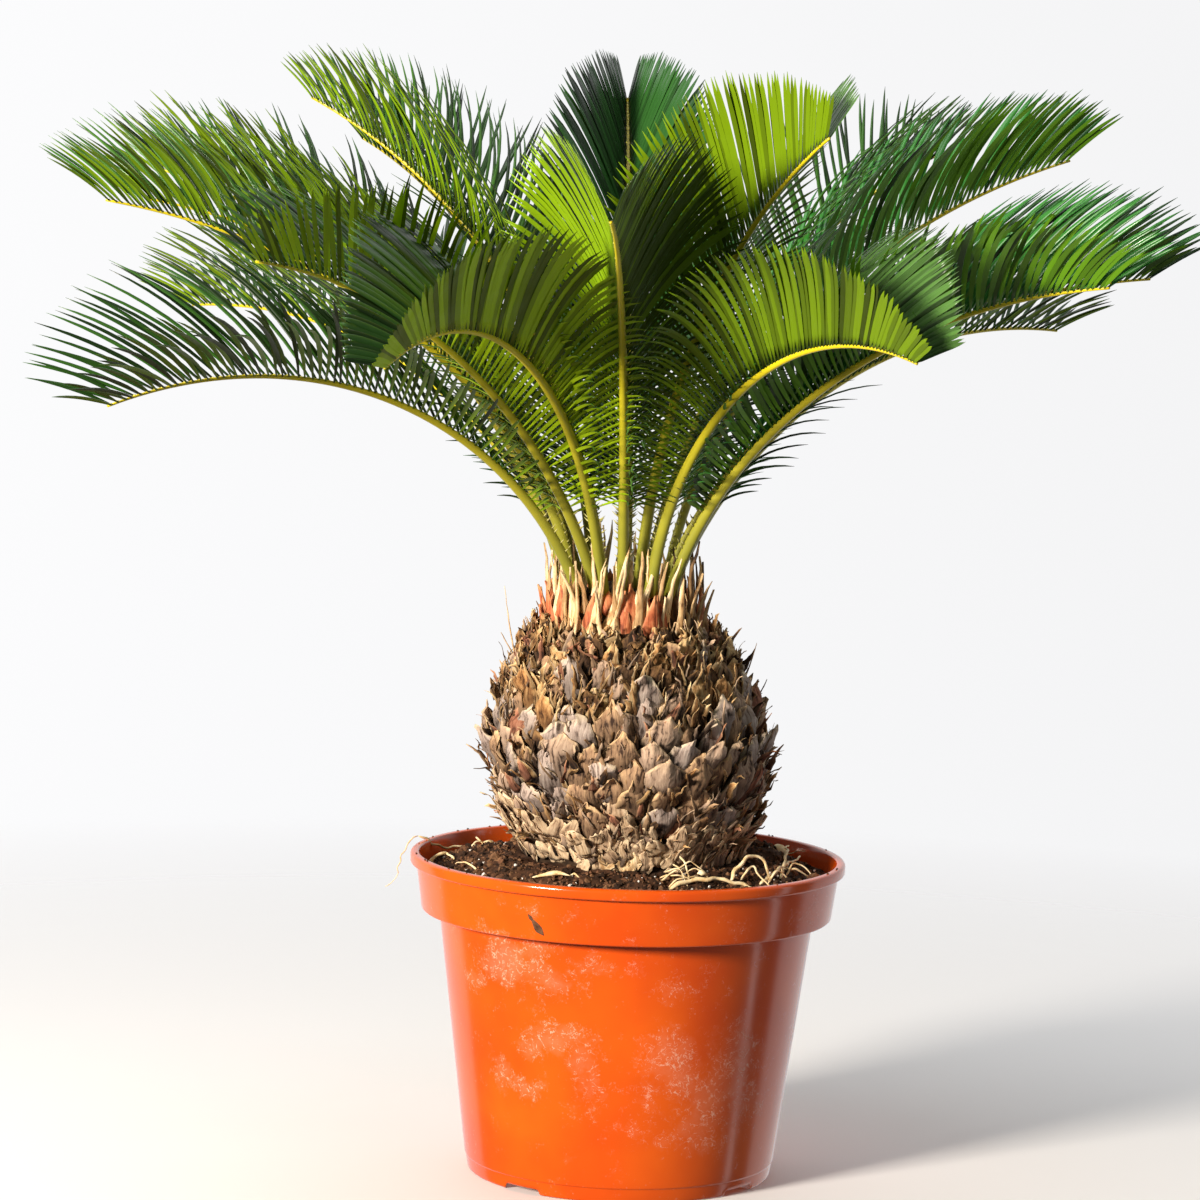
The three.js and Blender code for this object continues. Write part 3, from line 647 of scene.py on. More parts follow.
def curved(waypoints, stations):
    """A smooth curve through waypoints, by Catmull and Rom's rule: between p1 and p2 it is
    0.5 (2 p1 + (p2 - p0) t + (2 p0 - 5 p1 + 4 p2 - p3) t^2 + (3 p1 - p0 - 3 p2 + p3) t^3)."""
    w = np.array(waypoints, float)
    w = np.concatenate([[2 * w[0] - w[1]], w, [2 * w[-1] - w[-2]]])
    at = np.linspace(0, len(w) - 3 - 1e-9, stations)
    i = at.astype(int)
    t = (at - i)[:, None]
    p0, p1, p2, p3 = (w[i + k] for k in range(4))
    return 0.5 * (2 * p1 + (p2 - p0) * t + (2 * p0 - 5 * p1 + 4 * p2 - p3) * t**2
                  + (3 * p1 - p0 - 3 * p2 + p3) * t**3)


print("half way along the first root:", curved(ROOTS[0][1], 3)[1].round(1))


# %% Roots, made round and tapered
def ring(corners, power=1.0):
    """Corners of a ring (cos a, sin a), each to the power `power` with its sign kept."""
    pair = spokes(full_turn(corners))[:, :2]
    return np.sign(pair) * np.abs(pair) ** power


ROOT_STATIONS, SLAB_STATIONS, WAVER = 30, 10, 1.5
along_root = np.linspace(0, 1, ROOT_STATIONS)
paths = np.array([curved(waypoints, ROOT_STATIONS) for _, waypoints in ROOTS])
waver = np.stack([noise(paths, 6, seed) for seed in (31, 32, 33)], axis=-1)
paths[..., 2] += mound(paths[..., 0], paths[..., 1])
paths += waver * WAVER
thick = np.array([thickness for thickness, _ in ROOTS])[:, None]
half = thick * 0.64 * (1 - 0.55 * along_root) * (1 + 0.25 * noise(paths, 4, 34))
half = half * np.minimum(1, 0.4 + 12 * along_root)
roots = Heap()
roots.add_bars(0, *sweep(paths, UP, half[..., None, None] * ring(8) * np.array([1, 0.85])))
slabs = np.array([curved(waypoints, SLAB_STATIONS) for waypoints in (
    [(-60, -80, 2.5), (-52, -81, 3.4), (-44, -81, 3.4), (-36, -84, 2)],
    [(93, 50, 4), (97, 49, 7), (101, 47, 7), (105, 45, 4)],
    [(43, -80, 5), (45, -80, 6), (47, -80, 6), (49, -79, 5)],
    [(-96, 56, 3), (-93, 58, 4), (-90, 60, 4), (-87, 61, 3)])])
slabs[..., 2] += mound(slabs[..., 0], slabs[..., 1])
swell = np.sin(np.linspace(0.15, np.pi - 0.15, SLAB_STATIONS)) * np.array([2.1, 5, 2.6, 3])[:, None]
sections = swell[..., None, None] * ring(8) * np.array([1, 0.7])
roots.add_bars(0, *sweep(slabs, UP, sections * (1 + 0.2 * noise(slabs, 3, 35))[..., None, None]))
print(len(paths), "roots and", len(slabs), "slabs of root bark")


# %% Root bark
# Young root bark is cream, and it browns in blotches where it has dried.
def root_bark():
    made, tree, shader = material("root bark, cream", 0.75)
    spots = cloud(tree, place_of(tree), 6, detail=5, roughness=0.65)
    colour = ramp(tree, spots, (0.3, "#C09258"), (0.6, "#F5E2BA"), (0.46, "#E8CC98"))
    return dressed(made, tree, shader, colour, spots, depth_mm=0.4, strength=0.6)


make("roots_on_soil", roots, [root_bark()])

# %% [markdown]
# ## The trunk
#
# Every frond leaves a hard stub when it dies, and the stubs overlap like the scales of a cone. A dark
# core follows the trunk's true outline, and several hundred scales stand on it in staggered rings.
# Each scale is a plate: broad at its foot, pointed at its end, thick in the middle and arched across.
# Plates, slivers and spines are one function with other numbers.

# %% Trunk outline and core
TRUNK_PROFILE = np.array([
    [204.8, 71, 2.8], [215, 75, 0.9], [230, 83.5, -0.6], [250, 89, -1.2], [270, 92, -2.2],
    [290, 88, -3.6], [310, 81.5, -5.2], [330, 73.5, -5.8], [345, 64, -6.3], [357, 54, -6.7], [376, 45, -7]])
CROWN = np.array([-7, 0, 375.7])
CORE_INSET = 8.5  # how far the core lies inside the tips of the scales


def trunk_at(height):
    """The trunk's radius, the shift of its axis along X, and how fast its radius grows with height."""
    heights, radii, shifts = TRUNK_PROFILE.T
    radius = np.interp(height, heights, radii)
    growth = (np.interp(height + 3, heights, radii) - np.interp(height - 3, heights, radii)) / 6
    return radius, np.interp(height, heights, shifts), growth


heights = np.linspace(GROUND - 3, 374, 70)
radius, shift, _ = trunk_at(heights)
inset = np.interp(heights, [205, 216, 345, 374], [2, CORE_INSET, CORE_INSET, 9])
profile = np.concatenate([[[0, heights[0]]], np.stack([radius - inset, heights], 1), [[20, 380], [0, 382]]])
rows, poles, walls, fans = turned(profile, columns=160)
outward = unit(rows * LEVEL)
rough = 1.8 * noise(rows, 9, 41) + 1.1 * noise(rows, 4, 42)
rows = rows + outward * rough[..., None]
rows[..., 0] += np.interp(rows[..., 2], heights, shift)
poles[:, 0] += shift[[0, -1]]
core = Heap()
core.add_turned(rows, poles, walls, fans)
print("trunk core:", len(heights), "rings, widest radius", (radius - inset).max().round(1), "mm")


# %% Plates that stand on a surface
def plates(heap, ground, *, length, width, thickness, lean, curl, yaw, roll, arch, shape, jagged, seed, kind,
           folds=0.0, columns=7):
    """Adds closed plates to a heap. `ground` is their feet, the ways up the surface and out of it. A
    plate's middle line goes up, turned sideways by `yaw`, and out by lean + curl * v^2, where v runs
    from 0 at the foot to 1 at the tip and angles are in degrees. Half its width is width * shape(v).
    Across it, where u runs from -1 to 1, its face is arched by arch * (1 - |u|^1.4) of that, its
    margins roll outwards with |u|^3, and lengthwise folds deepen towards the tip. It thins towards
    the tip and the margins, and noise roughens it, most of all at the margins. Each face has
    `columns` points across. Its notes are the place on the plate (u w, v length, lot), how near the
    rim a point is, and v."""
    foot, upward, outward = ground
    length, width, thickness, arch, jagged = (
        np.broadcast_to(size, len(foot))[:, None] for size in (length, width, thickness, arch, jagged))
    lean, curl, yaw, roll = (
        np.broadcast_to(np.radians(angle), len(foot))[:, None] for angle in (lean, curl, yaw, roll))
    stations = shape.shape[-1]
    v, u = np.linspace(0, 1, stations), np.linspace(1, -1, columns)
    across = unit(np.cross(outward, upward))
    ahead = tilted(upward, across, yaw)[:, None]
    way = tilted(ahead, outward[:, None], (lean + curl * v**2)[..., None])
    paths = walked(foot, (way[:, 1:] + way[:, :-1]) / 2 * (length / (stations - 1))[..., None])
    face = tilted(outward, across, roll)
    half = (width * shape)[..., None]
    lot = np.arange(len(foot))[:, None, None] * 37.0
    run = (v * length)[..., None]
    sheet = np.stack(np.broadcast_arrays(half * u * 1.5, run * 0.45, lot), axis=-1)
    crease = noise(sheet, 4, seed + 30) * folds * (0.3 + 0.7 * v)[:, None]
    rolled = 0.3 * bool(folds) * v[:, None] * np.abs(u) ** 3
    bow = half * (arch[..., None] * (1 - np.abs(u) ** 1.4) + rolled) + crease
    deep = thickness[..., None] * np.linspace(1, 0.3, stations)[:, None] * (1 - 0.62 * np.abs(u) ** 3)
    front = np.stack([half * u, bow + deep / 2], axis=-1)
    back = np.stack([half * u, bow * 0.8 - deep / 2], axis=-1)[:, :, ::-1]
    points, walls, caps = sweep(paths, face[:, None], np.concatenate([front, back], axis=2))
    shake = np.stack([noise(points, 3.1, seed + k) + 0.5 * noise(points, 1.3, seed + 9 + k)
                      for k in range(3)], axis=-1)
    edge = np.abs(np.concatenate([u, u[::-1]])) ** 3
    strength = jagged[..., None, None] * ((0.35 + v[:, None]) * (0.85 + 0.6 * edge))[None, :, :, None]
    grain = np.concatenate([half * u, (half * u)[:, :, ::-1]], axis=2)
    places = np.stack(np.broadcast_arrays(grain, run, lot), axis=-1)
    heap.add_bars(kind, points + shake * strength, walls, caps, grain=places * MM,
                  rim=np.maximum(edge, v[:, None] ** 3), share=v[:, None])


def on_trunk(heights, turn, inset):
    """Feet, directions up the trunk's surface, and directions out of it, at heights and azimuths."""
    radius, shift, growth = trunk_at(heights)
    upward = unit(spokes(turn) * growth[:, None] + UP)
    outward = unit(spokes(turn) - growth[:, None] * UP)
    foot = spokes(turn) * (radius - inset)[:, None]
    foot[:, 0] += shift
    foot[:, 2] = heights
    return foot, upward, outward


front_foot, _, _ = on_trunk(np.array([250.0]), np.radians([-90]), CORE_INSET)
print("foot of a scale at the front:", front_foot.round(1))


# %% [markdown]
# The scales change up the trunk. The lowest are worn flat and fibrous, those in the middle are grey
# plates with torn edges, and the top ones are straw-coloured and shaggy. So their numbers are small
# tables over the height, with a little chance in each.

# %% Scales in staggered rings
ROW_PITCH, SCALE_WIDTH, SCALE_ROWS, SCALE_SINK = 11.5, 19.5, 12, 13.5
SCALE_AT = np.linspace(0, 1, 12)
SCALE_SHAPE = np.interp(SCALE_AT, [0, 0.2, 0.5, 0.68, 0.8, 0.9, 1], [0.8, 1, 1, 0.8, 0.5, 0.22, 0.03])
GREYS, GOLDS, EARTHS, RUST, CREAM, CHARRED = (0, 1, 2), (3, 4), (5, 6), 7, 8, 9


def torn_tips(cut, widened):
    """Outlines of scales whose tips are torn off by `cut`, from 0 to 1, which widens the outline by
    up to `widened` at the shares 0.5, 0.95 and 1."""
    return SCALE_SHAPE * (1 + cut[:, None] * np.interp(SCALE_AT, [0.5, 0.95, 1], widened))


draw = np.random.default_rng(51)
row_heights = 207 + ROW_PITCH * np.arange(SCALE_ROWS)
row_counts = np.round(2 * np.pi * trunk_at(row_heights)[0] / SCALE_WIDTH).astype(int)
row_of = np.repeat(np.arange(SCALE_ROWS), row_counts)
order = np.concatenate([np.arange(n) for n in row_counts])
count = len(row_of)
even, bell = chances(draw, count)
turn = 2 * np.pi * (order + 0.5 * (row_of % 2)) / row_counts[row_of] + bell(0, 0.035)
height = row_heights[row_of] + bell(0, 1.6)


def by_height(*values):
    """Interpolates a table of values at the heights 205, 225, 250, 290, 325 and 350."""
    return np.interp(height, [205, 225, 250, 290, 325, 350], values)


def scale_kinds():
    """Sandy scales at the foot, grey ones above and golden ones at the top, with some rusty and
    charred ones among them."""
    golden = np.clip((height - 280) / 50, 0, 1) * 0.65
    earthen = np.clip((236 - height) / 20, 0, 1) * 0.95
    chance = even(0, 1)
    kind = np.where(chance < golden, draw.choice(GOLDS, count), draw.choice(GREYS, count))
    kind = np.where(chance > 1 - earthen, draw.choice(EARTHS, count), kind)
    kind = np.where(even(0, 1) < 0.04, RUST, kind)
    return np.where(even(0, 1) < np.clip((height - 275) / 100, 0.06, 0.34), CHARRED, kind)


scales = Heap()
plates(scales, on_trunk(height, turn, SCALE_SINK), shape=torn_tips(even(0, 1) ** 4, [0, 1.2, 3.5]),
       length=by_height(20, 27, 32, 31, 27, 22) * bell(1, 0.1),
       width=by_height(9.4, 11.0, 11.8, 11.2, 9.0, 6.8) * bell(1, 0.1),
       thickness=by_height(1.6, 2.6, 3.4, 3.2, 2.6, 2.2) * even(0.75, 1.2),
       lean=by_height(2, 11, 17, 19, 20, 20) + bell(0, 4),
       curl=by_height(-6, 0, 4, 9, 14, 16) + bell(0, 16), yaw=bell(0, 7), roll=bell(0, 10),
       arch=even(0.25, 0.8), jagged=by_height(0.9, 1.0, 1.05, 1.2, 1.6, 1.8), seed=52, folds=3.2,
       kind=scale_kinds())
print(count, "scales in", SCALE_ROWS, "rings")

# %% Slivers and flakes between the scales
SLIVERS, TOP_SLIVERS, FLAKES = 1000, 400, 420
SHRED_AT = np.linspace(0, 1, 7)
shreds = Heap()
height = np.concatenate([draw.uniform(212, 350, SLIVERS), draw.uniform(295, 350, TOP_SLIVERS)])
count = len(height)
even, bell = chances(draw, count)
golden = np.clip((height - 270) / 70, 0.25, 0.55)
plates(shreds, on_trunk(height, even(0, 2 * np.pi), even(0, 7)), width=0.8 + 3.0 * even(0, 1) ** 2,
       length=even(8, 20), thickness=even(0.5, 1.2), lean=bell(22, 12), curl=bell(10, 38),
       yaw=bell(0, 26), roll=bell(0, 35), arch=even(-0.3, 0.5), jagged=0.8, seed=61, folds=1.2, columns=3,
       shape=np.interp(SHRED_AT, [0, 0.3, 0.7, 1], [1, 0.9, 0.5, 0.05]),
       kind=np.where(even(0, 1) < golden, draw.choice(GOLDS, count),
                     draw.choice((1, 2, RUST, CHARRED, CHARRED), count)))
even, bell = chances(draw, FLAKES)
plates(shreds, on_trunk(even(204, 226), even(0, 2 * np.pi), even(1.5, 4)), length=even(10, 22),
       width=even(2, 7), thickness=even(0.5, 1.0), lean=bell(3, 4), curl=bell(3, 10), yaw=bell(0, 25),
       roll=bell(0, 12), arch=even(0, 0.3), jagged=0.8, seed=71, folds=1.2, columns=5,
       shape=np.interp(SHRED_AT, [0, 0.3, 0.7, 1], [0.8, 1, 0.8, 0.3]),
       kind=draw.choice((5, 6, 6, 1, 5, 6), FLAKES))
print(count, "slivers and", FLAKES, "flakes")

# %% [markdown]
# The pale skirt at the foot is new bark that shows where the outer layer has broken away. Higher up,
# the last ring of scales is dark, torn and leans well out.

# %% Skirt at the foot and torn collar under the crown
# Patches of new bark: azimuth in degrees, height, half width in degrees, flakes.
SKIRT = np.array([[264, 205, 9, 26], [244, 206, 3, 5], [238, 212, 2, 3], [288, 205, 3, 4],
                  [60, 205, 7, 12], [150, 206, 6, 8]])
COLLAR = 130
flakes = SKIRT[:, 3].astype(int)
azimuth, level, half_width, _ = np.repeat(SKIRT, flakes, axis=0).T
even, bell = chances(draw, flakes.sum())
turn = np.radians(azimuth + even(-1, 1) * half_width)
height = level + bell(0, 2.0)
plates(shreds, on_trunk(height, turn, even(0, 2.5)), length=even(5, 13), width=even(1.5, 5),
       thickness=even(0.4, 0.9), lean=bell(4, 4), curl=bell(-4, 8), yaw=bell(0, 40), roll=bell(0, 8),
       arch=even(0, 0.2), jagged=1.2, seed=75, folds=1.6, columns=5,
       shape=np.interp(SHRED_AT, [0, 0.3, 0.6, 1], [0.2, 1, 0.7, 0.05]),
       kind=np.where(np.arange(flakes.sum()) < flakes[0], CREAM, EARTHS[0]))
even, bell = chances(draw, COLLAR)
height, turn = even(328, 342), full_turn(COLLAR) + bell(0, 0.05)
plates(scales, on_trunk(height, turn, even(5, 10)), length=even(9, 17), width=even(2.5, 6.5),
       thickness=even(1.2, 2.2), lean=bell(26, 11), curl=bell(18, 28), yaw=bell(0, 14), roll=bell(0, 18),
       shape=torn_tips(even(0, 1), [0, 1.5, 5]), arch=even(0, 0.5), jagged=1.9, seed=81, folds=3.0,
       kind=draw.choice((2, 4, RUST, CHARRED, CHARRED), COLLAR))
print(flakes.sum(), "flakes of new bark and", COLLAR, "torn scales")


# %% Weathered leaf bases
# A dead leaf base is hard fibre. Rain bleaches its face to grey and leaves straw or rust where the
# outer skin has gone. Its fibres run lengthwise, about 0.8 mm apart, and its broken rim is paler.
# Its foot, tucked under its neighbours, is darker: partly real dirt, partly painted shade of the crevice.
def leaf_base(name, deep, middle, pale, rim_shade, rough=0.85, foot_dirt_and_shade=0.6):
    made, tree, shader = material(name, rough, Specular_IOR_Level=0.3)
    stretched = node(tree, "Mapping", Vector=note(tree, "grain", "Vector"),
                     Scale=(per(2.0), per(14), per(37))).outputs["Vector"]
    fibre = cloud(tree, stretched, 1000, detail=4, roughness=0.6, Distortion=0.4)  # sized by the mapping
    stain = cloud(tree, place_of(tree), 11, detail=5, roughness=0.65)
    blend = node(tree, "Mix", in_0=0.4, in_2=fibre, in_3=stain).outputs[0]
    shades = ramp(tree, blend, (0.4, deep), (0.62, pale), (0.48, middle))
    torn = maths(tree, "MULTIPLY", note(tree, "rim"), stain)
    clean = mixed(tree, remap(tree, torn, 0.3, 0.62, 0.0, 0.85), shades, linear(rim_shade))
    # Painted shade and dirt: the lower part of each scale is mixed towards near black.
    dirt_and_shade = remap(tree, note(tree, "share"), 0.35, 0.84, foot_dirt_and_shade, 0.0)
    colour = mixed(tree, dirt_and_shade, clean, linear("#150E09"))
    return dressed(made, tree, shader, colour, blend, depth_mm=1.8, strength=0.8)


LEAF_BASES = [
    leaf_base("leaf base, silver grey", "#4C3E35", "#AA968A", "#CBBAAC", "#E6D0AE"),
    leaf_base("leaf base, grey brown", "#43332A", "#AA8E78", "#CAAF96", "#E4C59E"),
    leaf_base("leaf base, umber", "#3C2A20", "#9E7D60", "#C4A07A", "#E0BC8C"),
    leaf_base("leaf base, straw", "#5A3D22", "#BE935E", "#EDCE98", "#F3DCB0"),
    leaf_base("leaf base, ochre", "#482B15", "#A67545", "#DBAD74", "#EACC96"),
    leaf_base("worn fibre, sand", "#5C4532", "#C6A884", "#E6CFAC", "#ECD6B0", foot_dirt_and_shade=0.15),
    leaf_base("worn fibre, clay", "#4C3928", "#B09274", "#D4BC9C", "#DCC29C", foot_dirt_and_shade=0.15),
    leaf_base("leaf base, rust", "#3A2219", "#945E46", "#BE886C", "#D6A87E"),
    leaf_base("new bark, cream", "#94714A", "#D3B384", "#F3DDB6", "#F3DDB6", foot_dirt_and_shade=0.1),
    leaf_base("leaf base, charred brown", "#180E09", "#432D1C", "#785838", "#A0794C"),
]
make("trunk_core", core, [crumbly("trunk core, dark fibre", "#17100B", "#43301F", 5)], ["trunk"])
make("trunk_scales", scales, LEAF_BASES)
make("trunk_shreds", shreds, LEAF_BASES)

# %% [markdown]
# ## The crown's collar
#
# Round the bud, the stubs are not yet worn down. Each has a swollen foot and a long stiff spine, as
# pale as straw, and between them lie terracotta-coloured scales. They are the same plates, narrow and
# tall, in rings that close in towards the bud.

# %% Straw spines and terracotta scales
SPINE_AT = np.linspace(0, 1, 9)
SPINE_SHAPE = np.interp(SPINE_AT, [0, 0.1, 0.2, 0.32, 0.5, 0.8, 1], [1.1, 1.3, 1.0, 0.52, 0.3, 0.2, 0.04])
HUSK_SHAPE = np.interp(SPINE_AT, [0, 0.2, 0.45, 0.65, 0.85, 1], [0.9, 1.1, 1.05, 0.7, 0.32, 0.05])
# Rings of spines: radius, height, count, shortest, longest, lean in degrees, share that are terracotta.
SPINE_RINGS = [
    (47.5, 335, 30, 42, 66, 4, 0.15), (46, 339, 30, 50, 74, 3, 0.4), (43, 345, 28, 48, 74, 3, 0.45),
    (38, 353, 24, 40, 68, 2, 0.45), (32, 361, 17, 30, 54, 2, 0.5), (24, 368, 12, 20, 36, 1, 0.5)]
# Loose spines on the trunk: azimuth, height, length, half width, lean, curl, yaw and finish.
LOOSE_SPINES = np.array([
    [186, 330, 44, 1.3, 14, -4, -4, 1], [352, 318, 26, 1.5, 26, -14, 5, 4], [8, 300, 20, 1.4, 34, -8, 0, 4],
    [171, 328, 17, 1.2, 40, 10, 6, 2], [20, 280, 15, 1.2, 40, -12, 0, 4]])
HUSK_KIND = 3
draw = np.random.default_rng(91)
spines = Heap()


def spine_kinds_with_painted_shade(husk, toward_right):
    """Terracotta for husks, and straw for spines, of which those at the right get darker finishes as painted
    shade.
    """
    pale, dark = draw.choice((0, 1, 0, 2), len(husk)), draw.choice((1, 2, 2, 4), len(husk))
    # Spines at the right, away from the light, take the darker finishes: painted shade.
    return np.where(husk, HUSK_KIND, np.where(toward_right > 0.75, dark, pale))


for number, (radius, level, count, short, long, tilt, share) in enumerate(SPINE_RINGS):
    even, bell = chances(draw, count)
    radial = spokes(2 * np.pi * (np.arange(count) + 0.5 * number) / count + bell(0, 0.06))
    foot = CROWN * LEVEL + radial * (radius + bell(0, 1.4))[:, None]
    foot[:, 2] = level + bell(0, 2)
    husk = even(0, 1) < share
    plates(spines, (foot, UP, radial), length=np.where(husk, 0.6, 1) * even(short, long),
           width=np.where(husk, even(5.2, 7.4), even(4.2, 6.6)), thickness=even(3, 4.6),
           lean=tilt + bell(0, 4), curl=bell(-2, 15), yaw=bell(0, 8), roll=bell(0, 20),
           shape=np.where(husk[:, None], HUSK_SHAPE, SPINE_SHAPE), arch=even(0.2, 0.6), jagged=0.75,
           seed=92 + number, folds=1.0, kind=spine_kinds_with_painted_shade(husk, radial[:, 0]))
azimuth, height, length, width, lean, curl, yaw, kind = LOOSE_SPINES.T
foot, _, outward = on_trunk(height, np.radians(azimuth), 3.0)
plates(spines, (foot, UP, outward), length=length, width=width, thickness=1.2, lean=lean, curl=curl,
       yaw=yaw, roll=0.0, arch=0.0, shape=SPINE_SHAPE**0.4, jagged=0.3, seed=98, kind=kind.astype(int))
print(sum(count for _, _, count, *_ in SPINE_RINGS), "spines in rings,", len(LOOSE_SPINES), "loose")

# %% Straw and terracotta
SPINE_FINISHES = [
    leaf_base("spine, pale straw", "#A87C4C", "#E4C390", "#F3DEB6", "#F3DEBA", 0.6, foot_dirt_and_shade=0.0),
    leaf_base("spine, straw", "#8A6038", "#D3AA72", "#EFD5A4", "#F0D8AC", 0.6, foot_dirt_and_shade=0.1),
    leaf_base("spine, tan", "#5E3E22", "#AC8456", "#D5B07E", "#DFC090", 0.65, foot_dirt_and_shade=0.2),
    leaf_base("husk, terracotta", "#823F25", "#BE663F", "#DB9060", "#DDA070", 0.6, foot_dirt_and_shade=0.2),
    leaf_base("spine, dark brown", "#2A1C12", "#5A4026", "#8A6A44", "#8E6F4A", 0.7, foot_dirt_and_shade=0.2),
]
make("crown_spines", spines, SPINE_FINISHES)

# %% [markdown]
# ## The fronds
#
# A frond's midrib leaves the crown steeply and bends over. Its leaflets stand in two rows that make
# a V, and they change along it: spread wide and curled down near the crown, closer and straighter
# towards the tip. Small tables over the length hold those angles, one set for grown fronds and one
# for young ones. They are the tables that shaped the solids, where one leaflet stands for about
# three of these. Near the crown, a young frond's leaflets are loose, narrow claws.

# %% The rule of the fronds
ALONG = [0.1, 0.3, 0.6, 0.85, 1.0]
SPREAD, KEEL, CURL = [80, 70, 60, 52, 38], [20, 38, 50, 58, 62], [75, 60, 35, 18, 8]
SPREAD_TIGHT, KEEL_TIGHT, CURL_TIGHT = [78, 62, 47, 43, 34], [24, 44, 57, 64, 67], [70, 52, 24, 10, 4]
OVERLAP_TIGHT = 6  # degrees by which the blades of a young frond lie over each other like slats
REACH = 3  # how many neighbours on each side give the surface that a young leaflet lies in
LOOSE_TO, FIRM_FROM = 0.22, 0.62  # shares of a young frond where its leaflets turn from loose to pressed
CLAW, LOOSE_HALF = 34, 1.15  # how much more a young frond's loose leaflets curl, and half their width
PETIOLE, LEAFLET_LENGTH = 0.15, 115
SIZE_ALONG = [0.12, 0.2, 0.35, 0.55, 0.72, 0.88, 1.0]
SIZE_SHORT, SIZE_LONG = [0.22, 0.42, 0.74, 1.0, 0.89, 0.58, 0.28], [0.22, 0.42, 0.74, 1.0, 0.96, 0.77, 0.46]
RIB_BASE, RIB_TIP, RIB_DEPTH = 4.1, 0.9, 1.35
# Azimuth, length, elevation at the crown and at the tip, spread of the bend, ring, roll, breadth.
FRONDS = np.array([
    [217, 400, 67, -19, 0.8, 36, -12, 1], [199, 415, 88, 8, 0.6, 34, -8, 1],
    [245, 385, 78, -25, 1, 34, -5, 0.2], [184, 395, 76, 8, 0.9, 25, 0, 0.6],
    [229, 388, 66, 5, 0.9, 26, 0, 0.2], [161, 390, 88, 25, 1, 21, 0, 0],
    [267, 390, 75, 5, 1, 31, 0, 0], [92, 382, 76, 40, 1, 18, 0, 0],
    [295, 390, 84, 22, 0.85, 19, 0, 0], [297, 390, 84, -12, 0.7, 34, 8, 0.4],
    [329, 410, 80, 5, 0.6, 28, 10, 0.6], [316, 415, 76, 5, 0.6, 38, 12, 0.8],
    [5, 400, 86, 18, 0.8, 24, 0, 0.6], [40, 395, 82, 20, 0.9, 20, 0, 0.3],
    [134, 395, 82, 20, 0.9, 24, 0, 0.3], [172, 395, 75, 15, 0.9, 36, 0, 0.6],
    [65, 400, 70, 0, 0.8, 32, 0, 0.6], [115, 400, 70, 0, 0.8, 32, 0, 0.6],
    [90, 400, 66, -8, 0.8, 36, 0, 0.6], [144, 400, 66, -5, 0.8, 37, 0, 0.6],
    [38, 400, 66, -5, 0.8, 36, 0, 0.6]])
FINE = 400  # steps in adding up a midrib's curve


def midrib(frond, shares):
    """Where a midrib is at shares of its length, and its directions there. Its elevation goes from
    rise to tip with share^bend. The place is the sum of short steps at that elevation, from the
    ring on the crown. left and up are turned about the midrib by its roll."""
    azimuth, length, rise, tip, bend, start, roll, _ = frond
    fine = np.linspace(0, 1, FINE + 1)
    tilt = np.radians(rise + (tip - rise) * np.maximum((fine[1:] + fine[:-1]) / 2, 1e-4) ** bend)
    run = np.append(0, np.cumsum(np.cos(tilt))) * length / FINE + start
    climb = np.append(0, np.cumsum(np.sin(tilt))) * length / FINE + GAP
    outward = spokes(np.radians(azimuth))
    place = (CROWN + np.interp(shares, fine, run)[:, None] * outward
             + np.interp(shares, fine, climb)[:, None] * UP)
    angle = np.radians(rise + (tip - rise) * np.maximum(shares, 1e-4) ** bend)[:, None]
    along = tilted(outward, UP, angle)
    level = np.broadcast_to(np.cross(UP, outward), along.shape)
    square = np.cross(along, level)
    left = tilted(level, square, np.radians(roll))
    return place, along, left, np.cross(along, left), level, square


def rib_half(shares):
    """Half the midrib's width: it tapers from base to tip with (1 - share)^1.1."""
    return RIB_TIP + (RIB_BASE - RIB_TIP) * (1 - shares) ** 1.1


print(len(FRONDS), "fronds, the first with its tip at", midrib(FRONDS[0], np.ones(1))[0].round())


# %% [markdown]
# A leaflet is a narrow strap about 4 mm wide. Above, it is dark and glossy with a groove down the
# middle, and below it is paler with a raised rib, so its profile has six corners: two margins, two
# shoulders, the groove and the rib. The faces above and below have their own materials. Both are
# plain colours, as the export moves patterns about on pieces with this many small faces.

# %% Leaflets of one frond
LEAFLET_STATIONS = 9
STRAP_AT = np.linspace(0, 1, LEAFLET_STATIONS)
STRAP_HALF = np.interp(STRAP_AT, [0, 0.06, 0.16, 0.3, 0.55, 0.82, 1], [0.3, 0.42, 0.78, 1, 0.95, 0.6, 0.04])
STRAP_BLUNT = np.interp(STRAP_AT, [0, 0.05, 0.14, 0.4, 0.72, 0.88, 1], [0.3, 0.6, 0.85, 1, 1.02, 0.7, 0.05])
STRAP_DEEP = np.interp(STRAP_AT, [0, 0.2, 0.85, 1], [1.3, 1, 0.8, 0.15])
# Corners across: margin, shoulder, groove, shoulder, margin, and the rib below. The margins of a
# young blade lie flat, and those of an old one are rolled under, which also makes it narrower.
STRAP_X = np.array([1, 0.6, 0, -0.6, -1, 0])
STRAP_Y = np.array([0, 0.24, 0.06, 0.24, 0, -0.52])
STRAP_ROLL = np.array([-1.0, 0, 0, 0, -1, 0])
STRAP_MARGIN = np.array([1, 0, 0, 0, 1, 0])
STRAP_BELOW = np.array([0, 0, 0, 0, 1, 1])  # the last two walls are the pale underside


